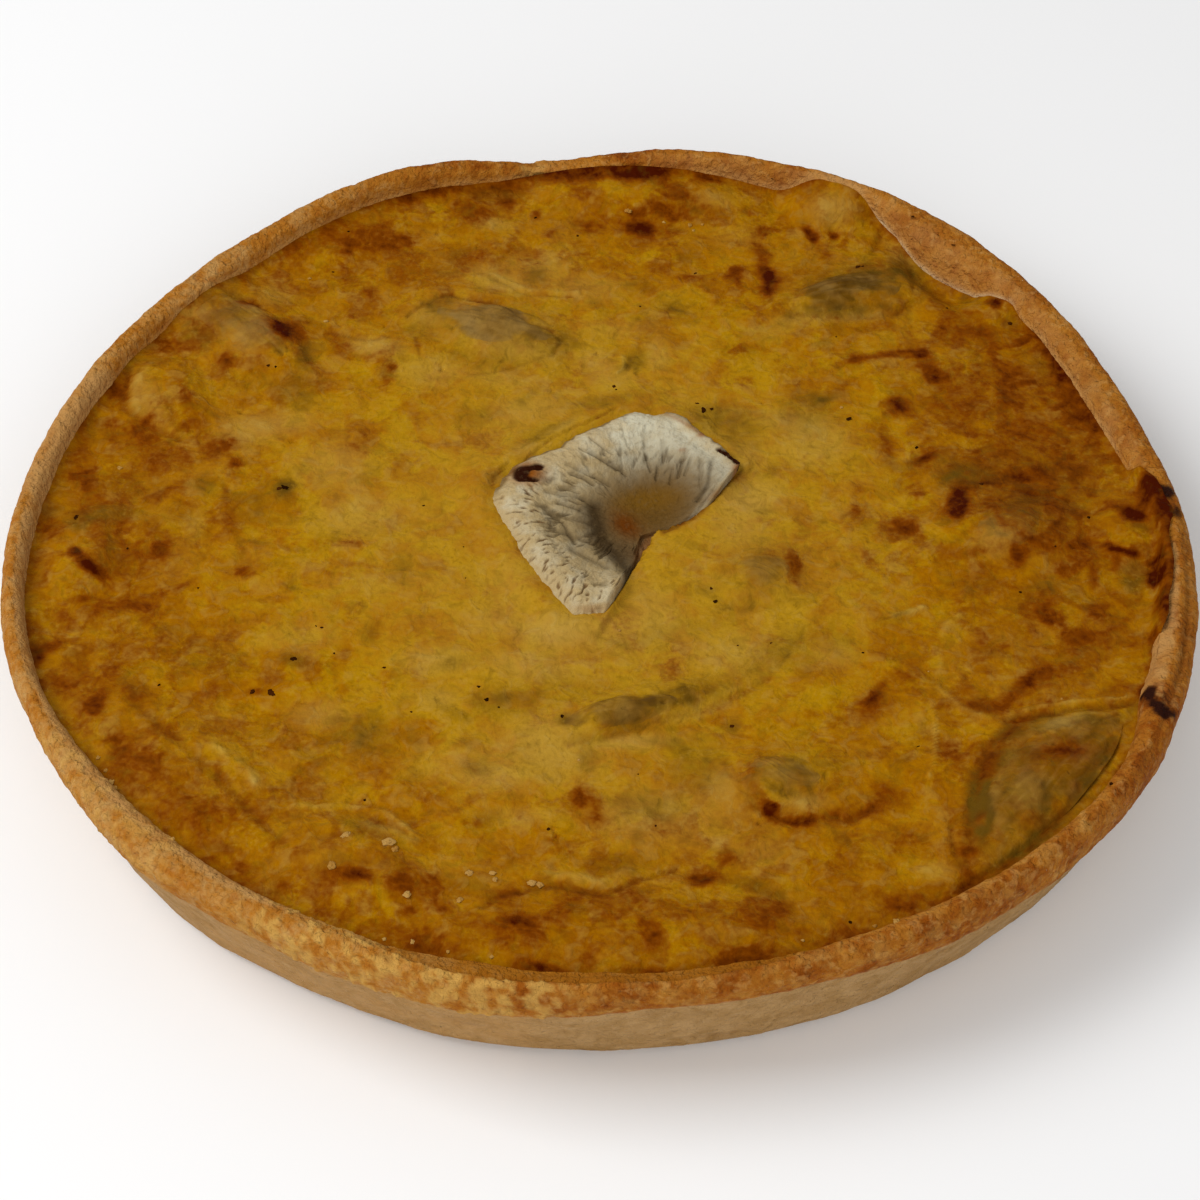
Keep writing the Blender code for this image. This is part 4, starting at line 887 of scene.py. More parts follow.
def make_leaf(place, leaf, finish):
    """One leaf: a crowned button with ribs along it, whose edge dips under the custard.

    Height over the custard is proud at the middle and falls with the reach to -SUNK at the edge; ribs
    are noise drawn out along the leaf.
    """
    azimuth, part = np.meshgrid(around_angles(LEAF_SIDES), np.arange(1, LEAF_ROWS + 1) / LEAF_ROWS)
    reach = part * leaf_reach(azimuth, leaf)
    x, y = keep_off_wall(leaf.x + reach * np.cos(azimuth), leaf.y + reach * np.sin(azimuth), WALL_CLEAR)
    along, across = turned(x, y, (leaf.x, leaf.y), leaf.turn)
    crown = leaf.proud - (leaf.proud + SUNK) * part ** 2.4
    ribs = clouds(along / 6.0, across + 0.6 * clouds(x, y, 0.0, 6.0, 2, 219), leaf.x, 1.4, 2, 211)
    folds = clouds(along / 2.0, across, leaf.y, 5.0, 2, 223)
    top = custard_top(x, y) + crown + 0.14 * ribs + 0.3 * folds * (1.0 - part ** 4)
    bottom = filling_top(leaf.x, leaf.y) - leaf.depth
    points = with_underside(x, y, top, (leaf.x, leaf.y), LEAF_UNDERSIDE, bottom)
    marks = custard_marks(points[..., 0], points[..., 1])
    film = clouds(along / 1.8, across, leaf.x + 3.0, 4.0, 4, 227)
    bare = leaf.bare * smooth_step(0.8 - part + 0.4 * film, -0.1, 0.35)
    bare *= 1.0 - 0.85 * smooth_step(marks["toast"][:-1], 0.55, 0.85)
    lilac = np.clip(leaf.lilac + 0.6 * clouds(x, y, 4.0, 6.0, 3, 229), 0.0, 1.0)
    for key, value in (("bare", bare), ("rib", ribs), ("lilac", lilac)):
        marks[key] = np.concatenate([value, value[-1:]])
    centre = custard_top(np.array([float(leaf.x)]), np.array([float(leaf.y)]))[0]
    pole = (leaf.x, leaf.y, centre + leaf.proud)
    piece = turned_piece("leaf_" + place, points, pole, (leaf.x, leaf.y, bottom), marks, finish)
    settle(piece, "artichoke_" + place)


def heart_reach(azimuth):
    """Distance from the heart's middle to its outline, eased between the named corners."""
    angles = np.array([point[0] for point in HEART_OUTLINE], float)
    reaches = np.array([point[1] for point in HEART_OUTLINE], float)
    return np.interp(np.degrees(azimuth) % 360.0, angles, reaches, period=360.0)


def heart_fleshy(azimuth):
    """1 where the heart has its fleshy rim and 0 along its open side."""
    degrees = np.degrees(azimuth) % 360.0
    return smooth_step(degrees, *FLESH_STARTS) * (1.0 - smooth_step(degrees, *FLESH_ENDS))


def tilted_oval(x, y, oval):
    """Distance from an oval's middle as a share of its reach: 1 on its outline."""
    along, across = turned(x, y, (oval.x, oval.y), oval.turn)
    return np.hypot(along / oval.long, across / oval.wide)


def fading(away, power):
    """1 at the middle of an oval and next to nothing past its outline, where away is 1."""
    return np.exp(-np.maximum(away, 0.0) ** power)


def heart_top(x, y, part, azimuth):
    """Height of the heart's cup over the custard: a fleshy crest on three sides round a sunk hollow."""
    crest = HEART_CREST * np.exp(-((part - CREST_AT) / CREST_WIDTH) ** 2)
    drop = EDGE_DROP - RIGHT_EDGE_UP * azimuth_span(azimuth, 12, 70, 16)
    crest = crest - drop * smooth_step(part, 0.86, 1.0)
    hollow = HEART_HOLLOW * np.exp(-tilted_oval(x, y, HOLLOW) ** 2.4)
    flesh = heart_fleshy(azimuth)
    return flesh * crest - (1.0 - flesh) * OPEN_SIDE_SUNK - hollow


# Creases of the heart, as seen from the camera: the fold inside its left flesh, the dark edge of its hollow
# and cracks, along which shade is painted, and the radiating folds of its flesh
HEART_FOLDS = (
    Stroke(((-12, 14.9), (-12.8, 6.3), (-10.5, -0.2), (-5, -8.8), (1, -14)), 0.8, 0.45),
    Stroke(((-1.8, 8), (-1, 3), (0.2, -1.5), (3.0, -6), (5.0, -9.4)), 2.1, 1.0),
    Stroke(((5.6, -10.4), (4.6, -14), (3.2, -18)), 0.7, 0.9),
    Stroke(((22.6, 21), (21.9, 15), (19.6, 10)), 0.5, 0.6),
    Stroke(((4.3, 32.2), (5.5, 25.7), (6.8, 24.5), (11, 26)), 0.35, 0.6),
    Stroke(((9, 30), (9, 21)), 0.6, 0.4), Stroke(((-2, 24), (3, 19)), 0.6, 0.5),
    Stroke(((-7, 20.5), (-1.6, 17)), 0.6, 0.5), Stroke(((-11, 12.8), (-3.6, 10.6)), 0.7, 0.6),
    Stroke(((-11.4, 6.3), (-2, 3.6)), 0.7, 0.6), Stroke(((-10.4, 2), (-1, -2.5)), 0.7, 0.7),
    Stroke(((-6, -4), (1.2, -9)), 0.7, 0.7), Stroke(((13, 27), (12.4, 20)), 0.6, 0.4),
    Stroke(((17.6, 24), (15.6, 17)), 0.6, 0.45), Stroke(((20.6, 21.5), (20.4, 14)), 0.5, 0.6),
    Stroke(((-6.3, 17.7), (-3.6, 16.6), (-1.7, 14.6)), 0.45, 0.9),
    Stroke(((-1.7, 17), (1.7, 14.3)), 0.4, 0.8), Stroke(((-4.3, 25), (0.6, 21.8), (3.7, 19)), 0.4, 0.6),
    Stroke(((1.7, 21.7), (5, 17.4)), 0.4, 0.7), Stroke(((-9, 9.4), (-4.3, 7.4)), 0.5, 0.8),
    Stroke(((-4.2, 10.6), (-1.4, 8.6)), 0.4, 0.7),
    Stroke(((-11.7, 7.7), (-7.7, 3.4), (-5.4, -2.3)), 0.5, 0.8),
    Stroke(((9.2, 23.7), (10.2, 18.3)), 0.35, 0.7), Stroke(((11.7, 19.7), (11.3, 16)), 0.35, 0.7),
    Stroke(((14.7, 19.4), (14.2, 15)), 0.35, 0.6), Stroke(((16.6, 21.4), (15.8, 17)), 0.35, 0.6),
    Stroke(((18.4, 22), (17.2, 17.4)), 0.35, 0.6), Stroke(((-2.4, 28), (2.2, 23.6)), 0.35, 0.5),
    Stroke(((-8.6, 14), (-4.6, 12.2)), 0.35, 0.6),
)
Oval = namedtuple("Oval", "x y long wide turn")
HOLLOW = Oval(8.2, 7.6, 14.0, 11.0, HEART_TURN)
# Coloured ovals in and round the hollow, as seen from the camera, and the point that its fibres leave
GREY_OVAL = Oval(9.4, 8.4, 18.5, 14.5, HEART_TURN)
BROWN_OVAL = Oval(10.0, 7.0, 13.0, 9.6, HEART_TURN)
RUST_OVAL = Oval(5.0, 2.6, 4.2, 2.6, -60.0)
OLIVE_OVAL = Oval(9.4, 10.2, 7.0, 3.4, 12.0)
ASHEN_OVAL = Oval(5.6, -5.2, 4.2, 2.6, -60.0)
FIBRES_FROM = (7.5, 5.0)
HEART_BURNS = tuple(Mark(*row) for row in (
    (-16.6, 17.6, 1.9, 2.2, 10, 1.3), (-14.2, 19.5, 2.6, 0.9, 6, 1.2), (-14.4, 15.8, 2.0, 0.8, 2, 1.1),
    (-12.8, 19.2, 0.9, 0.9, 0, 1.0), (24.8, 24.2, 1.6, 0.7, -40, 1.3), (26.6, 22.5, 1.8, 0.8, -46, 1.3),
    (28, 20.9, 0.9, 0.7, -40, 1.2),
))
HEART_SCORCHED = tuple(Mark(*row) for row in (
    (-15.2, 17.6, 3.7, 3.2, 0, 1.0), (27.8, 19.6, 1.3, 1.6, -20, 0.7), (-2, -20.5, 3.4, 1.2, 0, 0.3),
    (-22.6, 6, 1.0, 4.4, 12, 0.35), (16.6, 24.4, 0.9, 0.7, 0, 0.4), (24, 12.4, 3.2, 0.8, 40, 0.3),
    (17.6, 32.2, 6, 0.6, -38, 0.5), (-11, 25.4, 1.2, 0.8, 0, 0.3), (20.8, 28.8, 1.0, 0.8, -40, 0.7),
    (9.0, -3.4, 1.4, 4.0, -26, 0.5),
))


def heart_pattern(x, y, part, azimuth):
    """Named colour parts of the heart, from 0 to 1 each; x and y are as seen from the camera.

    Fibres run out from the hollow: noise that is fine round the hollow's middle and long away from it.
    The flesh greys towards the hollow over one oval and turns brown inside a smaller one.
    """
    flesh = heart_fleshy(azimuth)
    degrees = np.degrees(azimuth) % 360.0
    from_x, from_y = x - FIBRES_FROM[0], y - FIBRES_FROM[1]
    away = np.hypot(from_x, from_y)
    swing = np.arctan2(from_x, -from_y)
    wander = 0.5 * clouds(x, y, 0.0, 5.0, 2, 307)
    hairs = clouds(swing * 6.0 + wander, away / 7.0, 0.0, 1.0, 3, 311)
    fine = clouds(swing * 15.0 + 1.5 * wander, away / 3.6, 4.0, 1.0, 2, 313)
    oval = tilted_oval(x, y, GREY_OVAL)
    inner = smooth_step(oval, 0.45, 0.8) * (1.0 - smooth_step(part + 0.1 * hairs, 0.7, 0.86))
    fibre = inner * smooth_step(0.9 * hairs + 0.5 * fine, 0.1, 0.75)
    fibre = fibre + 0.8 * strokes(x, y, HEART_FOLDS[5:])
    dashes = clouds((degrees + 1.4 * hairs) / 2.4, part * 13.0, 8.0, 1.0, 2, 317)
    left_side = azimuth_span(azimuth, 165, 254, 12)
    dash_band = smooth_step(part, 0.62, 0.72) * (1.0 - smooth_step(part, 0.92, 0.99))
    pores = smooth_step(dashes, 0.15, 0.6) * dash_band * (0.2 + 0.8 * left_side)
    grey = fading(oval + 0.08 * hairs + 0.06 * fine, 3.5)
    brown = fading(tilted_oval(x, y, BROWN_OVAL) + 0.06 * fine, 3.5)
    brown = np.maximum(brown, 0.85 * (1.0 - flesh) * smooth_step(part, 0.3, 0.7))
    rust = fading(tilted_oval(x, y, RUST_OVAL) + 0.15 * fine, 2.0)
    olive = fading(tilted_oval(x, y, OLIVE_OVAL) + 0.1 * fine, 3.0)
    ashen = fading(tilted_oval(x, y, ASHEN_OVAL) + 0.1 * fine, 2.5)
    skin = azimuth_span(azimuth, 98, 162, 8) * smooth_step(part + 0.03 * fine, 0.90, 0.94)
    skin = np.maximum(skin, 0.6 * flesh * smooth_step(part + 0.02 * fine, 0.96, 0.99))
    lip = (1.0 - flesh) * smooth_step(part + 0.03 * hairs, 0.74, 0.82)
    lip = lip * (1.0 - azimuth_span(azimuth, 250, 306, 10))
    brown, grey = brown * (1.0 - 0.75 * lip), grey * (1.0 - 0.75 * lip)
    cream = 0.1 + 0.75 * azimuth_span(azimuth, 120, 255, 30) + 0.5 * clouds(x, y, 0.0, 5.0, 3, 319)
    cream += 0.5 * smooth_step(part, 0.88, 0.97)
    burn = smooth_step(blots(x + 0.4 * fine, y + 0.4 * hairs, HEART_BURNS), 0.25, 0.95)
    scorch = blots(x + 0.4 * hairs, y + 0.4 * fine, HEART_SCORCHED)
    speckle = smooth_step(clouds(x, y, 0.0, 0.9, 2, 353), 0.0, 0.8)
    # Painted shade: dark along the hollow's edge and the cracks, and over the sunk hollow
    shade = strokes(x, y, HEART_FOLDS[1:4]) + brown * (0.12 + 0.3 * speckle) * (1.0 - lip)
    return {"fibre": fibre, "pore": pores, "grey": grey, "skin": skin, "brown": brown, "rust": rust,
            "cream": cream, "olive": olive, "ashen": ashen, "shade": shade, "burnt": burn, "scorch": scorch}


def make_heart(finish):
    """The cup of heart: its outline filled with rings, lifted to the cup and combed with fibres."""
    azimuth, part = np.meshgrid(around_angles(HEART_SIDES), np.arange(1, HEART_ROWS + 1) / HEART_ROWS)
    ragged_edge = 0.02 + 0.014 * clouds(np.cos(azimuth) * 14.0, np.sin(azimuth) * 14.0, 0.0, 1.0, 3, 331)
    reach = part * heart_reach(azimuth) * (1.0 + ragged_edge * part)
    x = HEART_MIDDLE[0] + reach * np.cos(azimuth)
    y = HEART_MIDDLE[1] + reach * np.sin(azimuth)
    lift = heart_top(x, y, part, azimuth)
    level = filling_top(x, y)
    seen_y = y + SEEN_LEAN * (level + lift - SEEN_LEVEL)
    pattern = heart_pattern(x, seen_y, part, azimuth)
    lumps = 0.34 * clouds(x, y, 0.0, 6.0, 3, 337) * smooth_step(part, 0.2, 0.5)
    grain = 0.08 * clouds(x, y, 0.0, 1.6, 2, 347)
    lift += lumps + grain - 0.5 * np.clip(pattern["fibre"], 0.0, 1.2) - 0.35 * pattern["pore"]
    lift -= 0.45 * strokes(x, seen_y, HEART_FOLDS) + 0.4 * pattern["burnt"]
    top = level + lift
    floor = filling_top(*HEART_MIDDLE) - HEART_DEPTH
    points = with_underside(x, y, top, HEART_MIDDLE, HEART_UNDERSIDE, floor)
    marks = {key: np.clip(np.concatenate([value, value[-1:]]), 0.0, 1.0) for key, value in pattern.items()}
    pole = (*HEART_MIDDLE, float(top[0].mean()))
    piece = turned_piece("heart_cup", points, pole, (*HEART_MIDDLE, floor), marks, finish)
    settle(piece, "artichoke_heart")


# ---- Crumbs and flecks ----

def scatter(name, places, share, sides, rows, lump, flat, seed, finish):
    """Many small lumps as one mesh, set down at their places on the pie, with share to scale them all.

    Each is a ball of rows x sides points.  Noise pushes its radius in and out, and it is flattened and
    turned at random.
    """
    generator = np.random.default_rng(seed)
    azimuth, polar = np.meshgrid(around_angles(sides), np.pi * np.arange(1, rows) / rows)
    ball = np.stack([np.sin(polar) * np.cos(azimuth), np.sin(polar) * np.sin(azimuth), np.cos(polar)],
                    axis=-1)
    shape = np.concatenate([[[0.0, 0.0, 1.0]], ball.reshape(-1, 3), [[0.0, 0.0, -1.0]]])
    places = np.array(places, float)
    count = len(places)
    shift = generator.uniform(-90.0, 90.0, (count, 1, 3))
    around = shape[None] * 1.3 + shift
    swell = 1.0 + lump * noise(around[..., 0], around[..., 1], around[..., 2], seed)
    stretch = generator.uniform(0.7, 1.3, (count, 1, 2))
    spin = generator.uniform(0.0, 2.0 * np.pi, (count, 1))
    size = share * places[:, 2:3]
    local = shape[None] * swell[..., None] * size[..., None]
    across = local[..., 0] * stretch[..., 0]
    deep = local[..., 1] * stretch[..., 1]
    x = places[:, 0:1] + across * np.cos(spin) - deep * np.sin(spin)
    y = places[:, 1:2] + across * np.sin(spin) + deep * np.cos(spin)
    ground = pie_top(places[:, 0], places[:, 1])[:, None]
    z = ground + flat * local[..., 2] + 0.3 * flat * size
    points = np.stack([x, y, z], axis=-1).reshape(-1, 3)
    faces = ball_faces(sides, rows)
    faces = (faces[None] + (np.arange(count) * len(shape))[:, None, None]).reshape(-1, 3)
    tone = np.broadcast_to(generator.uniform(0.0, 1.0, (count, 1)), x.shape).ravel()
    return build_piece(name, points, faces, {"tone": tone}, finish)


def pie_top(x, y):
    """Height of whatever is uppermost at a point: the custard, or the case's lip past its edge."""
    azimuth = np.arctan2(y, x)
    past = np.hypot(x, y) - inner_radius(azimuth)
    onto_lip = smooth_step(past, -0.6, 1.6)
    return custard_top(x, y) * (1.0 - onto_lip) + rim_top(azimuth) * onto_lip


# ---- Meshes ----

def ball_faces(sides, rows):
    """Triangles of a ball: a fan at each pole and split squares between its rings."""
    ring = 1 + np.arange((rows - 1) * sides).reshape(rows - 1, sides)
    return closed_faces(ring, 0, 1 + (rows - 1) * sides)


def split_squares(a, b, c, d):
    """Two triangles for every square, from the numbers of its corners in turn."""
    return np.concatenate([np.stack(corners, axis=-1).reshape(-1, 3) for corners in ((a, b, c), (a, c, d))])


def field_faces(index):
    """Triangles over a grid of point numbers."""
    return split_squares(index[:-1, :-1], index[1:, :-1], index[1:, 1:], index[:-1, 1:])


def closed_faces(ring, first, last):
    """Triangles over rings of points that close on themselves, with a pole before and after them."""
    after = np.roll(ring, -1, axis=1)
    sides = split_squares(ring[:-1], ring[1:], after[1:], after[:-1])
    start = np.stack([np.full_like(ring[0], first), ring[0], after[0]], axis=-1)
    end = np.stack([ring[-1], np.full_like(ring[-1], last), after[-1]], axis=-1)
    return np.concatenate([start, sides, end])


def build_piece(name, points, faces, marks, finish, normals=None):
    """A mesh object from points in millimetres, triangles and one named number for every point."""
    mesh = bpy.data.meshes.new(name)
    mesh.vertices.add(len(points))
    mesh.vertices.foreach_set("co", ((points - (*MIDDLE, 0.0)) * MM).astype(np.float32).ravel())
    mesh.loops.add(3 * len(faces))
    mesh.loops.foreach_set("vertex_index", faces.astype(np.int32).ravel())
    mesh.polygons.add(len(faces))
    mesh.polygons.foreach_set("loop_start", np.arange(len(faces), dtype=np.int32) * 3)
    mesh.update(calc_edges=True)
    mesh.shade_smooth()
    for key, value in marks.items():
        attribute = mesh.attributes.new(key, "FLOAT", "POINT")
        attribute.data.foreach_set("value", np.ascontiguousarray(value, dtype=np.float32).ravel())
    if normals is not None:
        mesh.normals_split_custom_set_from_vertices(normals.reshape(-1, 3))
    mesh.materials.append(finish)
    return new_object(name, mesh)


def new_object(name, data):
    """An object in the scene, for a mesh, a camera or a light."""
    made = bpy.data.objects.new(name, data)
    bpy.context.scene.collection.objects.link(made)
    return made


def turned_piece(name, points, first_pole, last_pole, marks, finish):
    """A closed piece from rings of points, with a pole inside the first ring and one inside the last."""
    rows, sides = points.shape[:2]
    flat = np.concatenate([[first_pole], points.reshape(-1, 3), [last_pole]])
    ring = 1 + np.arange(rows * sides).reshape(rows, sides)
    spread = {key: np.concatenate([[value[0].mean()], value.ravel(), [value[-1].mean()]])
              for key, value in marks.items()}
    return build_piece(name, flat, closed_faces(ring, 0, 1 + rows * sides), spread, finish)


def slab_piece(name, points, normals, marks, finish):
    """A closed piece of custard: a height field, sides that lean in with the wall and an underside."""
    rows, columns = points.shape[:2]
    index = np.arange(rows * columns).reshape(rows, columns)
    edge = np.concatenate([index[:-1, 0], index[-1, :-1], index[:0:-1, -1], index[0, :0:-1]])
    flat = points.reshape(-1, 3)
    lower = flat[edge].copy()
    lower[:, :2] *= (plain_wall(FLOOR) - WALL) / (plain_wall(LEVEL) - WALL)
    lower[:, 2] = FLOOR + UNDER_CUSTARD
    middle = lower.mean(axis=0)
    start = rows * columns
    low = start + np.arange(len(edge))
    after, low_after = np.roll(edge, -1), np.roll(low, -1)
    sides = split_squares(edge, low, low_after, after)
    under = np.stack([low, np.full_like(low, start + len(edge)), low_after], axis=-1)
    everything = np.concatenate([flat, lower, [middle]])
    facing = np.concatenate([normals.reshape(-1, 3), np.tile((0.0, 0.0, -1.0), (len(edge) + 1, 1))])
    spread = {key: np.concatenate([value.ravel(), value.ravel()[edge], [0.4]])
              for key, value in marks.items()}
    faces = np.concatenate([field_faces(index), sides, under])
    return build_piece(name, everything, faces, spread, finish, facing)


def settle(piece, node):
    """Let a piece ride on the pie in place of a CAD node, which is hidden."""
    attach(piece, "root")
    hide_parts(node)


# ---- Finishes ----

DAYLIGHT = 1.1             # how much brighter than full white the studio's light is on a level surface


def daylight(red, green, blue):
    """Linear colour that shows as the given sRGB colour, 0 to 255, on a level surface in the studio."""
    value = np.array([red, green, blue]) / 255.0
    linear = np.where(value <= 0.04045, value / 12.92, ((value + 0.055) / 1.055) ** 2.4)
    return (*(float(part) / DAYLIGHT for part in linear), 1.0)


def connect(tree, value, socket):
    """Link a socket to value where that is a socket too, and otherwise set it to value."""
    if isinstance(value, bpy.types.NodeSocket):
        tree.links.new(value, socket)
    else:
        socket.default_value = value


def add(tree, kind, settings=None, **inputs):
    """A shader node; inputs are named as its sockets are, with _ for a space, and take values or sockets."""
    node = tree.nodes.new(kind)
    for key, value in (settings or {}).items():
        setattr(node, key, value)
    for key, value in inputs.items():
        connect(tree, value, node.inputs[key.replace("_", " ")])
    return node


def mix_colour(tree, factor, low, high):
    """low where factor is 0 and high where it is 1."""
    node = tree.nodes.new("ShaderNodeMix")
    node.data_type = "RGBA"
    for index, value in ((0, factor), (6, low), (7, high)):
        connect(tree, value, node.inputs[index])
    return node.outputs[2]


def sums(tree, operation, first, second, clamp=False):
    """One arithmetic step on two values, each a number or a socket."""
    node = tree.nodes.new("ShaderNodeMath")
    node.operation = operation
    node.use_clamp = clamp
    for socket, value in zip(node.inputs[:2], (first, second)):
        connect(tree, value, socket)
    return node.outputs[0]


def tint(tree, colour, amount, share, shown):
    """A colour turned towards the sRGB colour shown, by amount times share."""
    return mix_colour(tree, sums(tree, "MULTIPLY", amount, share), colour, daylight(*shown))


def per_metre(tree, size):
    """Scale of a texture whose features are size millimetres wide."""
    return sums(tree, "DIVIDE", 1000.0, size)


def moved(tree, place, step):
    """Sum of two vectors."""
    node = add(tree, "ShaderNodeVectorMath", {"operation": "ADD"})
    tree.links.new(place, node.inputs[0])
    tree.links.new(step, node.inputs[1])
    return node.outputs[0]


def ramp(tree, value, low, high, to_low=0.0, to_high=1.0):
    """Straight ramp from to_low at low up to to_high at high, and level beyond them."""
    node = add(tree, "ShaderNodeMapRange", None, Value=value, From_Min=low, From_Max=high,
               To_Min=to_low, To_Max=to_high)
    return node.outputs[0]


def mark(tree, name):
    """A piece's own named number."""
    return add(tree, "ShaderNodeAttribute", {"attribute_name": name}).outputs["Fac"]


def new_group(name, inputs, outputs):
    """An empty node group with named sockets: pairs of name and kind for inputs, with their values."""
    tree = bpy.data.node_groups.new(name, "ShaderNodeTree")
    for label, kind, value in inputs:
        socket = tree.interface.new_socket(label, in_out="INPUT", socket_type="NodeSocket" + kind)
        socket.default_value = value
    for label, kind in outputs:
        tree.interface.new_socket(label, in_out="OUTPUT", socket_type="NodeSocket" + kind)
    return tree, tree.nodes.new("NodeGroupInput").outputs, tree.nodes.new("NodeGroupOutput").inputs


def make_browning_group():
    """Browning: raw through golden and brown to dark as Toast goes from 0 to 1."""
    tree, given, out = new_group(
        "browning",
        [("Toast", "Float", 0.3), ("Raw", "Color", (0.5, 0.3, 0.1, 1.0)),
         ("Golden", "Color", (0.4, 0.2, 0.0, 1.0)), ("Brown", "Color", (0.2, 0.1, 0.0, 1.0)),
         ("Dark", "Color", (0.05, 0.01, 0.0, 1.0))],
        [("Colour", "Color")])
    golden = mix_colour(tree, ramp(tree, given["Toast"], 0.0, 0.35), given["Raw"], given["Golden"])
    brown = mix_colour(tree, ramp(tree, given["Toast"], 0.35, 0.7), golden, given["Brown"])
    dark = mix_colour(tree, ramp(tree, given["Toast"], 0.7, 1.0), brown, given["Dark"])
    tree.links.new(dark, out["Colour"])
    return tree


def make_grain_group():
    """Grain: noise of a given size in millimetres, as a value round 0 from -1 to 1.

    Shift moves the noise, so that one size can be used for two things.
    """
    tree, given, out = new_group(
        "grain",
        [("Size", "Float", 1.0), ("Warp", "Float", 0.0), ("Detail", "Float", 3.0), ("Shift", "Float", 0.0)],
        [("Value", "Float")])
    place = add(tree, "ShaderNodeTexCoord").outputs["Object"]
    shifted = moved(tree, place, given["Shift"])
    texture = add(tree, "ShaderNodeTexNoise", None, Vector=shifted, Scale=per_metre(tree, given["Size"]),
                  Detail=given["Detail"], Roughness=0.5, Distortion=given["Warp"]).outputs["Fac"]
    tree.links.new(ramp(tree, texture, 0.28, 0.72, -1.0, 1.0), out["Value"])
    return tree


def make_strand_group():
    """Strands: fine curling threads where warped noise crosses its middle, as a mask from 0 to 1.

    A second noise, Patch across, lets them come and go.
    """
    tree, given, out = new_group(
        "strands",
        [("Size", "Float", 2.0), ("Warp", "Float", 2.0), ("Width", "Float", 0.15), ("Patch", "Float", 9.0)],
        [("Mask", "Float")])
    place = add(tree, "ShaderNodeTexCoord").outputs["Object"]
    curl = add(tree, "ShaderNodeTexNoise", None, Vector=place, Scale=per_metre(tree, given["Size"]),
               Detail=3.0, Roughness=0.55, Distortion=given["Warp"]).outputs["Fac"]
    away = sums(tree, "ABSOLUTE", sums(tree, "SUBTRACT", curl, 0.5), 0.0)
    off_thread = ramp(tree, away, 0.0, sums(tree, "MULTIPLY", given["Width"], 0.5))
    thread = sums(tree, "SUBTRACT", 1.0, off_thread)
    patch = add(tree, "ShaderNodeTexNoise", None, Vector=place, Scale=per_metre(tree, given["Patch"]),
                Detail=2.0, Roughness=0.5, Distortion=0.0).outputs["Fac"]
    tree.links.new(sums(tree, "MULTIPLY", thread, ramp(tree, patch, 0.4, 0.62)), out["Mask"])
    return tree


def make_fleck_group():
    """Flecks: round dots of a given size and rarity, ragged by noise, as a mask from 0 to 1."""
    tree, given, out = new_group(
        "flecks",
        [("Spacing", "Float", 4.0), ("Size", "Float", 0.3), ("Share", "Float", 0.3)],
        [("Mask", "Float")])
    place = add(tree, "ShaderNodeTexCoord").outputs["Object"]
    wobble = add(tree, "ShaderNodeTexNoise", None, Vector=place, Scale=900.0, Detail=2.0)
    push = add(tree, "ShaderNodeVectorMath", {"operation": "SCALE"},
               Vector=wobble.outputs["Color"], Scale=0.0009)
    pushed = moved(tree, place, push.outputs[0])
    cells = add(tree, "ShaderNodeTexVoronoi", None, Vector=pushed, Scale=per_metre(tree, given["Spacing"]))
    near = sums(tree, "MULTIPLY", cells.outputs["Distance"], given["Spacing"])
    off_dot = ramp(tree, near, sums(tree, "MULTIPLY", given["Size"], 0.6), given["Size"])
    dot = sums(tree, "SUBTRACT", 1.0, off_dot)
    pick = add(tree, "ShaderNodeSeparateColor", None, Color=cells.outputs["Color"]).outputs[0]
    kept = sums(tree, "LESS_THAN", pick, given["Share"])
    tree.links.new(sums(tree, "MULTIPLY", dot, kept), out["Mask"])
    return tree


def use(tree, group, **inputs):
    """Place a node group and set its inputs."""
    node = tree.nodes.new("ShaderNodeGroup")
    node.node_tree = group
    for key, value in inputs.items():
        connect(tree, value, node.inputs[key])
    return node.outputs


def browned(tree, groups, toast, raw, golden, brown, dark):
    """Colour at a degree of browning, between four sRGB colours."""
    return use(tree, groups["browning"], Toast=toast, Raw=daylight(*raw), Golden=daylight(*golden),
               Brown=daylight(*brown), Dark=daylight(*dark))["Colour"]


def new_finish(name, roughness, gloss, sheen_tint=(1.0, 1.0, 1.0, 1.0)):
    """A material with one Principled shader, and its tree."""
    material = bpy.data.materials.new(name)
    material.use_nodes = True
    tree = material.node_tree
    shader = tree.nodes["Principled BSDF"]
    shader.inputs["Roughness"].default_value = roughness
    shader.inputs["Specular IOR Level"].default_value = gloss
    shader.inputs["Specular Tint"].default_value = sheen_tint
    return material, tree, shader


def bumped(tree, shader, *layers):
    """Lay bumps over each other: each layer is a height, its depth in millimetres and its strength."""
    normal = None
    for height, depth, strength in layers:
        node = add(tree, "ShaderNodeBump", None, Height=height, Distance=depth * MM, Strength=strength)
        if normal is not None:
            tree.links.new(normal, node.inputs["Normal"])
        normal = node.outputs[0]
    tree.links.new(normal, shader.inputs["Normal"])


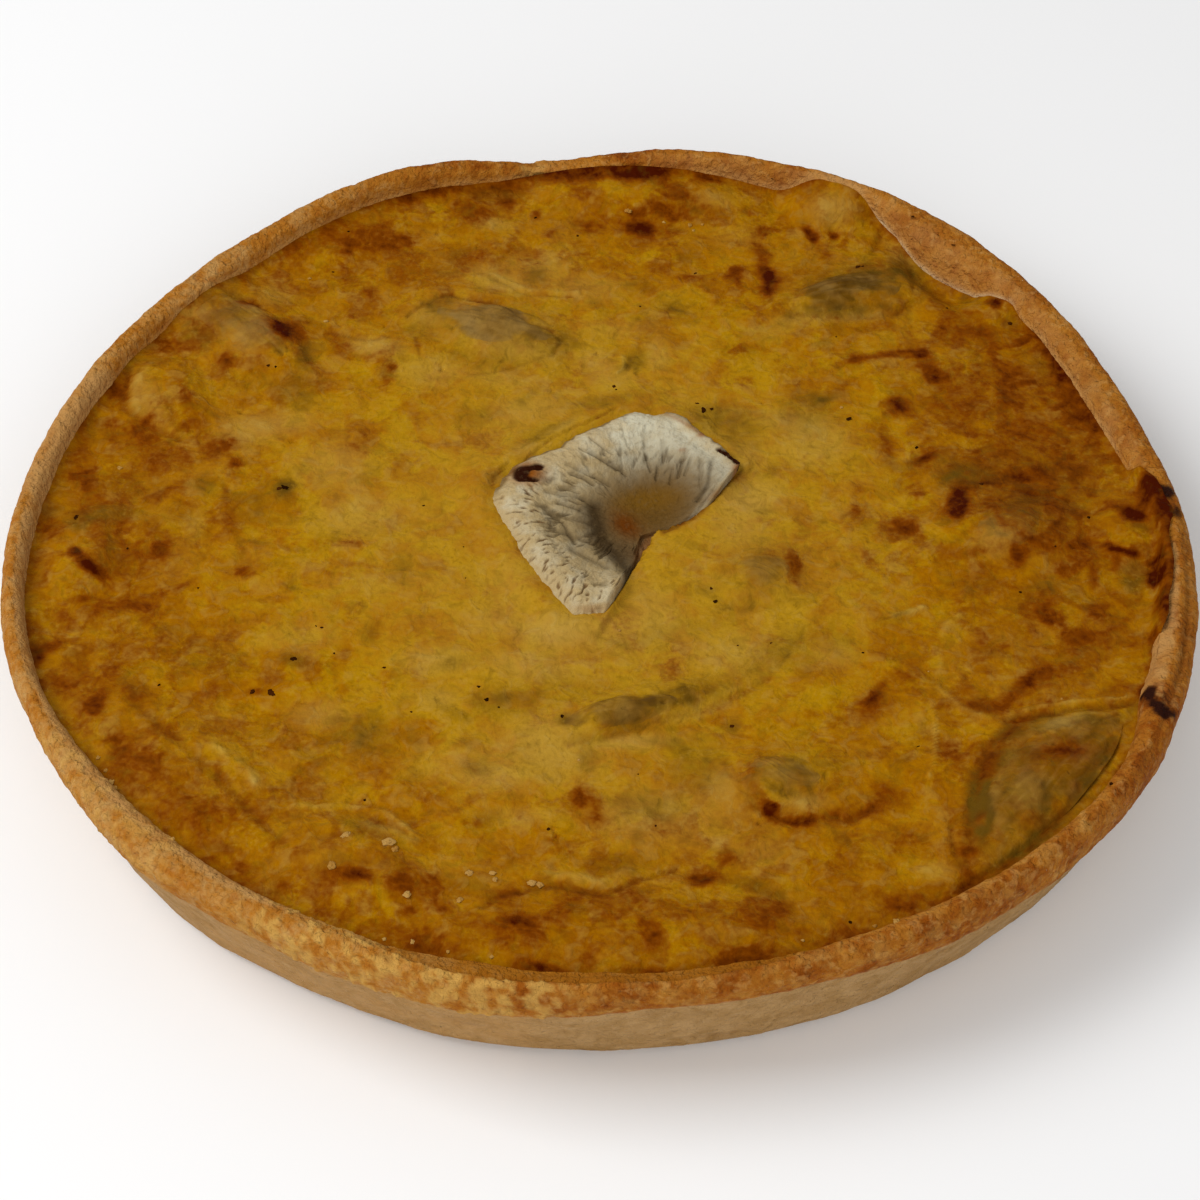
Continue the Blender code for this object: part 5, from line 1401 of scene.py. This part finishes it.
def custard_colour(tree, groups):
    """Colour of baked custard from a piece's own numbers, with patches, threads of cheese and flecks."""
    grain = groups["grain"]
    fine = use(tree, grain, Size=1.3, Warp=0.2, Detail=2.0)["Value"]
    broad = use(tree, grain, Size=8.0, Warp=0.8, Detail=3.0)["Value"]
    blush = use(tree, grain, Size=10.0, Warp=1.0, Detail=4.0, Shift=3.1)["Value"]
    wisps = use(tree, grain, Size=3.4, Warp=0.8, Detail=3.0, Shift=1.7)["Value"]
    threads = use(tree, groups["strands"], Size=4.0, Warp=1.2, Width=0.08, Patch=12.0)["Mask"]
    toast = sums(tree, "ADD", mark(tree, "toast"), ramp(tree, broad, -0.3, 0.35, -0.09, 0.09))
    toast = sums(tree, "ADD", toast, ramp(tree, wisps, -0.5, 0.5, -0.05, 0.05))
    toast = sums(tree, "ADD", toast, sums(tree, "MULTIPLY", fine, 0.08))
    colour = browned(tree, groups, toast, (181, 134, 14), (164, 105, 0), (126, 62, 0), (68, 16, 0))
    lemon = sums(tree, "ADD", mark(tree, "lemon"), ramp(tree, blush, -0.15, 0.3, -0.35, 0.4), clamp=True)
    lemon = sums(tree, "MULTIPLY", lemon, ramp(tree, toast, 0.55, 0.35, 0.0, 0.7))
    colour = mix_colour(tree, lemon, colour, daylight(178, 134, 4))
    soft = ramp(tree, toast, 0.75, 0.5)
    pale = sums(tree, "ADD", mark(tree, "pale"), ramp(tree, wisps, 0.15, 0.7, 0.0, 0.22), clamp=True)
    colour = tint(tree, colour, pale, soft, (184, 148, 66))
    olive = sums(tree, "ADD", mark(tree, "olive"), ramp(tree, wisps, -0.25, -0.8, 0.0, 0.25), clamp=True)
    colour = mix_colour(tree, olive, colour, daylight(100, 70, 12))
    curd = use(tree, grain, Size=1.0, Warp=0.0, Detail=2.0, Shift=4.3)["Value"]
    rough = sums(tree, "MULTIPLY", ramp(tree, blush, -0.3, 0.3), soft)
    colour = tint(tree, colour, ramp(tree, curd, 0.25, 0.9, 0.0, 0.16), rough, (194, 152, 60))
    colour = tint(tree, colour, ramp(tree, curd, -0.3, -0.9, 0.0, 0.25), rough, (112, 74, 4))
    colour = tint(tree, colour, sums(tree, "MULTIPLY", threads, soft), 0.08, (190, 148, 60))
    flecks = use(tree, groups["flecks"], Spacing=5.0, Size=0.32, Share=0.28)["Mask"]
    colour = tint(tree, colour, flecks, 0.3, (92, 46, 4))
    return colour, fine, wisps


def make_custard_finish(groups):
    """Baked custard: mottled gold to brown, with a slightly moist skin."""
    material, tree, shader = new_finish("baked_custard", 0.5, 0.03, (1.0, 0.62, 0.15, 1.0))
    colour, fine, wisps = custard_colour(tree, groups)
    tree.links.new(colour, shader.inputs["Base Color"])
    tree.links.new(ramp(tree, wisps, -1.0, 1.0, 0.42, 0.62), shader.inputs["Roughness"])
    bumped(tree, shader, (wisps, 0.25, 0.5), (fine, 0.12, 0.45))
    return material


def make_leaf_finish(groups):
    """Artichoke leaf under a film of custard: olive to grey-violet, ribbed, and bare where it rises."""
    material, tree, shader = new_finish("artichoke_leaf", 0.5, 0.03, (1.0, 0.75, 0.4, 1.0))
    film, fine, wisps = custard_colour(tree, groups)
    blend = sums(tree, "ADD", mark(tree, "lilac"), sums(tree, "MULTIPLY", wisps, 0.25), clamp=True)
    leaf = mix_colour(tree, blend, daylight(106, 70, 8), daylight(144, 114, 60))
    rib = ramp(tree, mark(tree, "rib"), -0.1, 0.9)
    leaf = tint(tree, leaf, rib, 0.7, (74, 46, 10))
    bright = ramp(tree, mark(tree, "rib"), -0.2, -1.0)
    leaf = tint(tree, leaf, bright, 0.4, (160, 126, 66))
    leaf = mix_colour(tree, ramp(tree, mark(tree, "olive"), 0.4, 1.0, 0.0, 0.8), leaf, daylight(76, 48, 5))
    leaf = tint(tree, leaf, mark(tree, "pale"), 0.7, (160, 126, 66))
    bare = sums(tree, "ADD", mark(tree, "bare"), ramp(tree, wisps, -1.0, 1.0, 0.15, -0.35), clamp=True)
    colour = mix_colour(tree, bare, film, leaf)
    tree.links.new(colour, shader.inputs["Base Color"])
    tree.links.new(ramp(tree, wisps, -1.0, 1.0, 0.36, 0.56), shader.inputs["Roughness"])
    bumped(tree, shader, (wisps, 0.2, 0.4), (fine, 0.1, 0.4))
    return material


def make_heart_finish(groups):
    """Heart flesh: ivory rim, grey combed inside, brown hollow, and burns at its corners."""
    material, tree, shader = new_finish("artichoke_heart", 0.6, 0.03, (1.0, 0.9, 0.75, 1.0))
    fine = use(tree, groups["grain"], Size=1.0, Warp=0.4, Detail=3.0)["Value"]
    broad = use(tree, groups["grain"], Size=4.0, Warp=1.0, Detail=4.0)["Value"]
    cream = sums(tree, "ADD", mark(tree, "cream"), sums(tree, "MULTIPLY", broad, 0.2), clamp=True)
    colour = mix_colour(tree, cream, daylight(206, 198, 170), daylight(186, 162, 116))
    for name, share, shown in (
            ("grey", 0.95, (124, 104, 72)), ("skin", 0.85, (118, 92, 50)), ("fibre", 0.75, (88, 70, 44)),
            ("pore", 0.85, (104, 72, 38)), ("brown", 0.95, (106, 74, 24)), ("olive", 0.7, (122, 84, 16)),
            ("rust", 0.95, (106, 50, 0)), ("ashen", 0.8, (86, 62, 34)), ("shade", 0.85, (50, 34, 14)),
            ("scorch", 1.0, (138, 76, 14)), ("burnt", 1.0, (44, 14, 2))):
        colour = tint(tree, colour, mark(tree, name), share, shown)
    speckle = ramp(tree, fine, 0.2, 0.9, 0.0, 0.25)
    colour = mix_colour(tree, speckle, colour, daylight(120, 96, 60))
    tree.links.new(colour, shader.inputs["Base Color"])
    shader.inputs["Subsurface Weight"].default_value = 0.04
    shader.inputs["Subsurface Radius"].default_value = (1.0, 0.7, 0.4)
    shader.inputs["Subsurface Scale"].default_value = 0.0012
    bumped(tree, shader, (broad, 0.25, 0.4), (fine, 0.14, 0.6))
    return material


def make_pastry_finish(groups):
    """Shortcrust: floury dough on the wall, golden to brown on the lip, with pores, crumbs and burns, and
    painted shade where its skin is sunk.
    """
    material, tree, shader = new_finish("shortcrust", 0.72, 0.06, (1.0, 0.8, 0.5, 1.0))
    grain = groups["grain"]
    fine = use(tree, grain, Size=1.0, Warp=0.3, Detail=3.0)["Value"]
    broad = use(tree, grain, Size=4.5, Warp=0.8, Detail=5.0)["Value"]
    mottle = use(tree, grain, Size=2.0, Warp=0.3, Detail=3.0, Shift=2.3)["Value"]
    lip = mark(tree, "lip")
    toast = sums(tree, "ADD", mark(tree, "toast"), ramp(tree, broad, -0.5, 0.5, -0.10, 0.10))
    toast = sums(tree, "ADD", toast, sums(tree, "MULTIPLY", fine, 0.10))
    colour = browned(tree, groups, toast, (190, 144, 82), (176, 112, 34), (140, 72, 12), (58, 24, 10))
    wall = mix_colour(tree, ramp(tree, broad, -0.6, 0.8), daylight(182, 144, 94), daylight(162, 124, 74))
    colour = mix_colour(tree, lip, wall, colour)
    colour = tint(tree, colour, ramp(tree, mottle, 0.2, 0.7, 0.0, 0.35), lip, (202, 150, 82))
    colour = tint(tree, colour, ramp(tree, mottle, -0.2, -0.7, 0.0, 0.35), lip, (158, 84, 18))
    # pore is painted shade where the skin's relief is sunk
    for name, share, shown in (
            ("pale", 0.75, (194, 146, 86)), ("crumb", 0.75, (208, 162, 82)), ("coat", 0.6, (150, 92, 14)),
            ("torn", 0.85, (208, 188, 152)), ("foot", 0.6, (158, 98, 62)), ("pore", 0.4, (116, 68, 26))):
        colour = tint(tree, colour, mark(tree, name), share, shown)
    flecks = use(tree, groups["flecks"], Spacing=3.2, Size=0.3, Share=0.3)["Mask"]
    colour = tint(tree, colour, flecks, 0.5, (120, 66, 24))
    colour = mix_colour(tree, mark(tree, "burnt"), colour, daylight(44, 16, 8))
    tree.links.new(colour, shader.inputs["Base Color"])
    tree.links.new(ramp(tree, broad, -1.0, 1.0, 0.62, 0.82), shader.inputs["Roughness"])
    bumped(tree, shader, (mottle, 0.4, 0.6), (fine, 0.25, 0.8))
    return material


def make_loose_finish(groups, name, roughness, gloss, size, first, second, depth):
    """Loose bits, each with its own tone between two sRGB colours; size and depth are those of its grain."""
    material, tree, shader = new_finish(name, roughness, gloss)
    fine = use(tree, groups["grain"], Size=size, Warp=0.2, Detail=2.0)["Value"]
    tone = sums(tree, "ADD", mark(tree, "tone"), sums(tree, "MULTIPLY", fine, 0.3), clamp=True)
    colour = mix_colour(tree, tone, daylight(*first), daylight(*second))
    tree.links.new(colour, shader.inputs["Base Color"])
    bumped(tree, shader, (fine, depth, 0.5))
    return material


# ---- Camera, floor and light ----

TARGET = Vector((-MIDDLE[0] * MM, -MIDDLE[1] * MM, 0.020))     # the point that the camera's distance is from
CAMERA_DISTANCE = 0.720
CAMERA_ELEVATION = 46.1
AIM_DOWN, AIM_LEFT = 0.76, 0.0375      # how far below and left of the target the camera is aimed, degrees
CAMERA_LENS = 105.42
FLOOR_REACH, FLOOR_GAP = 3.0, 0.0004   # the floor's half size, and how far it lies under the pie, metres
SKYLIGHT = 0.46                        # strength of the even light from all round
# The windows: place and side in metres, and power in watts
WINDOWS = {"window": ((-1.0, 0.1, 1.05), 0.9, 13.0), "front_window": ((0.1, -1.3, 0.8), 1.0, 8.0)}


def make_camera():
    """The camera in front of the pie, looking down on it."""
    data = bpy.data.cameras.new("camera")
    data.sensor_width = 36.0
    data.lens = CAMERA_LENS
    data.clip_start, data.clip_end = 0.01, 20.0
    camera = new_object("camera", data)
    rise = np.radians(CAMERA_ELEVATION)
    camera.location = TARGET + CAMERA_DISTANCE * Vector((0.0, -np.cos(rise), np.sin(rise)))
    camera.rotation_euler = (np.radians(90.0 - CAMERA_ELEVATION - AIM_DOWN), 0.0, np.radians(AIM_LEFT))
    bpy.context.scene.camera = camera


def make_floor():
    """A plain pale floor, flat and just under the pie."""
    line = np.linspace(-FLOOR_REACH, FLOOR_REACH, 25)
    x, y = np.meshgrid(line, line, indexing="ij")
    points = np.stack([x, y, np.full_like(x, -FLOOR_GAP)], axis=-1).reshape(-1, 3)
    mesh = bpy.data.meshes.new("floor")
    mesh.from_pydata(points.tolist(), [], field_faces(np.arange(x.size).reshape(x.shape)).tolist())
    material = bpy.data.materials.new("pale_floor")
    material.use_nodes = True
    shader = material.node_tree.nodes["Principled BSDF"]
    shader.inputs["Base Color"].default_value = (0.93, 0.93, 0.93, 1.0)
    shader.inputs["Roughness"].default_value = 0.9
    shader.inputs["Specular IOR Level"].default_value = 0.0
    mesh.materials.append(material)
    floor = new_object("floor", mesh)


def make_light(name, place, size, power):
    """A soft square light that faces the pie."""
    data = bpy.data.lights.new(name, "AREA")
    data.shape = "SQUARE"
    data.size = size
    data.energy = power
    light = new_object(name, data)
    light.location = place
    light.rotation_euler = (TARGET - Vector(place)).to_track_quat("-Z", "Y").to_euler()


def make_studio():
    """Even daylight all round, a strong window at the left and a weaker one in front."""
    world = bpy.data.worlds.new("studio")
    bpy.context.scene.world = world
    world.use_nodes = True
    background = world.node_tree.nodes["Background"]
    background.inputs["Color"].default_value = (1.0, 1.0, 1.0, 1.0)
    background.inputs["Strength"].default_value = SKYLIGHT
    for name, (place, size, power) in WINDOWS.items():
        make_light(name, place, size, power)
    bpy.context.scene.view_settings.view_transform = "Standard"


groups = {"browning": make_browning_group(), "grain": make_grain_group(), "strands": make_strand_group(),
          "flecks": make_fleck_group()}
pastry = make_pastry_finish(groups)
custard = make_custard_finish(groups)
leaf_finish = make_leaf_finish(groups)

make_case(pastry)
make_custard(custard)
make_heart(make_heart_finish(groups))
for place, leaf in LEAVES.items():
    make_leaf(place, leaf, leaf_finish)
# Crumbs between pale dough and gold, and burnt flecks, nearly black with a brown cast
crumb_finish = make_loose_finish(groups, "pastry_crumbs", 0.8, 0.1, 0.5, (184, 142, 74), (166, 116, 44), 0.12)
fleck_finish = make_loose_finish(groups, "burnt_flecks", 0.85, 0.0, 0.4, (36, 16, 4), (70, 34, 8), 0.08)
crumbs = scatter("pastry_crumbs", CRUMBS, 0.85, 20, 12, 0.75, 0.32, 401, crumb_finish)
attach(crumbs, "root")
flecks = scatter("burnt_flecks", FLECKS, 0.6, 12, 7, 0.9, 0.1, 409, fleck_finish)
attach(flecks, "root")

make_camera()
make_floor()
make_studio()
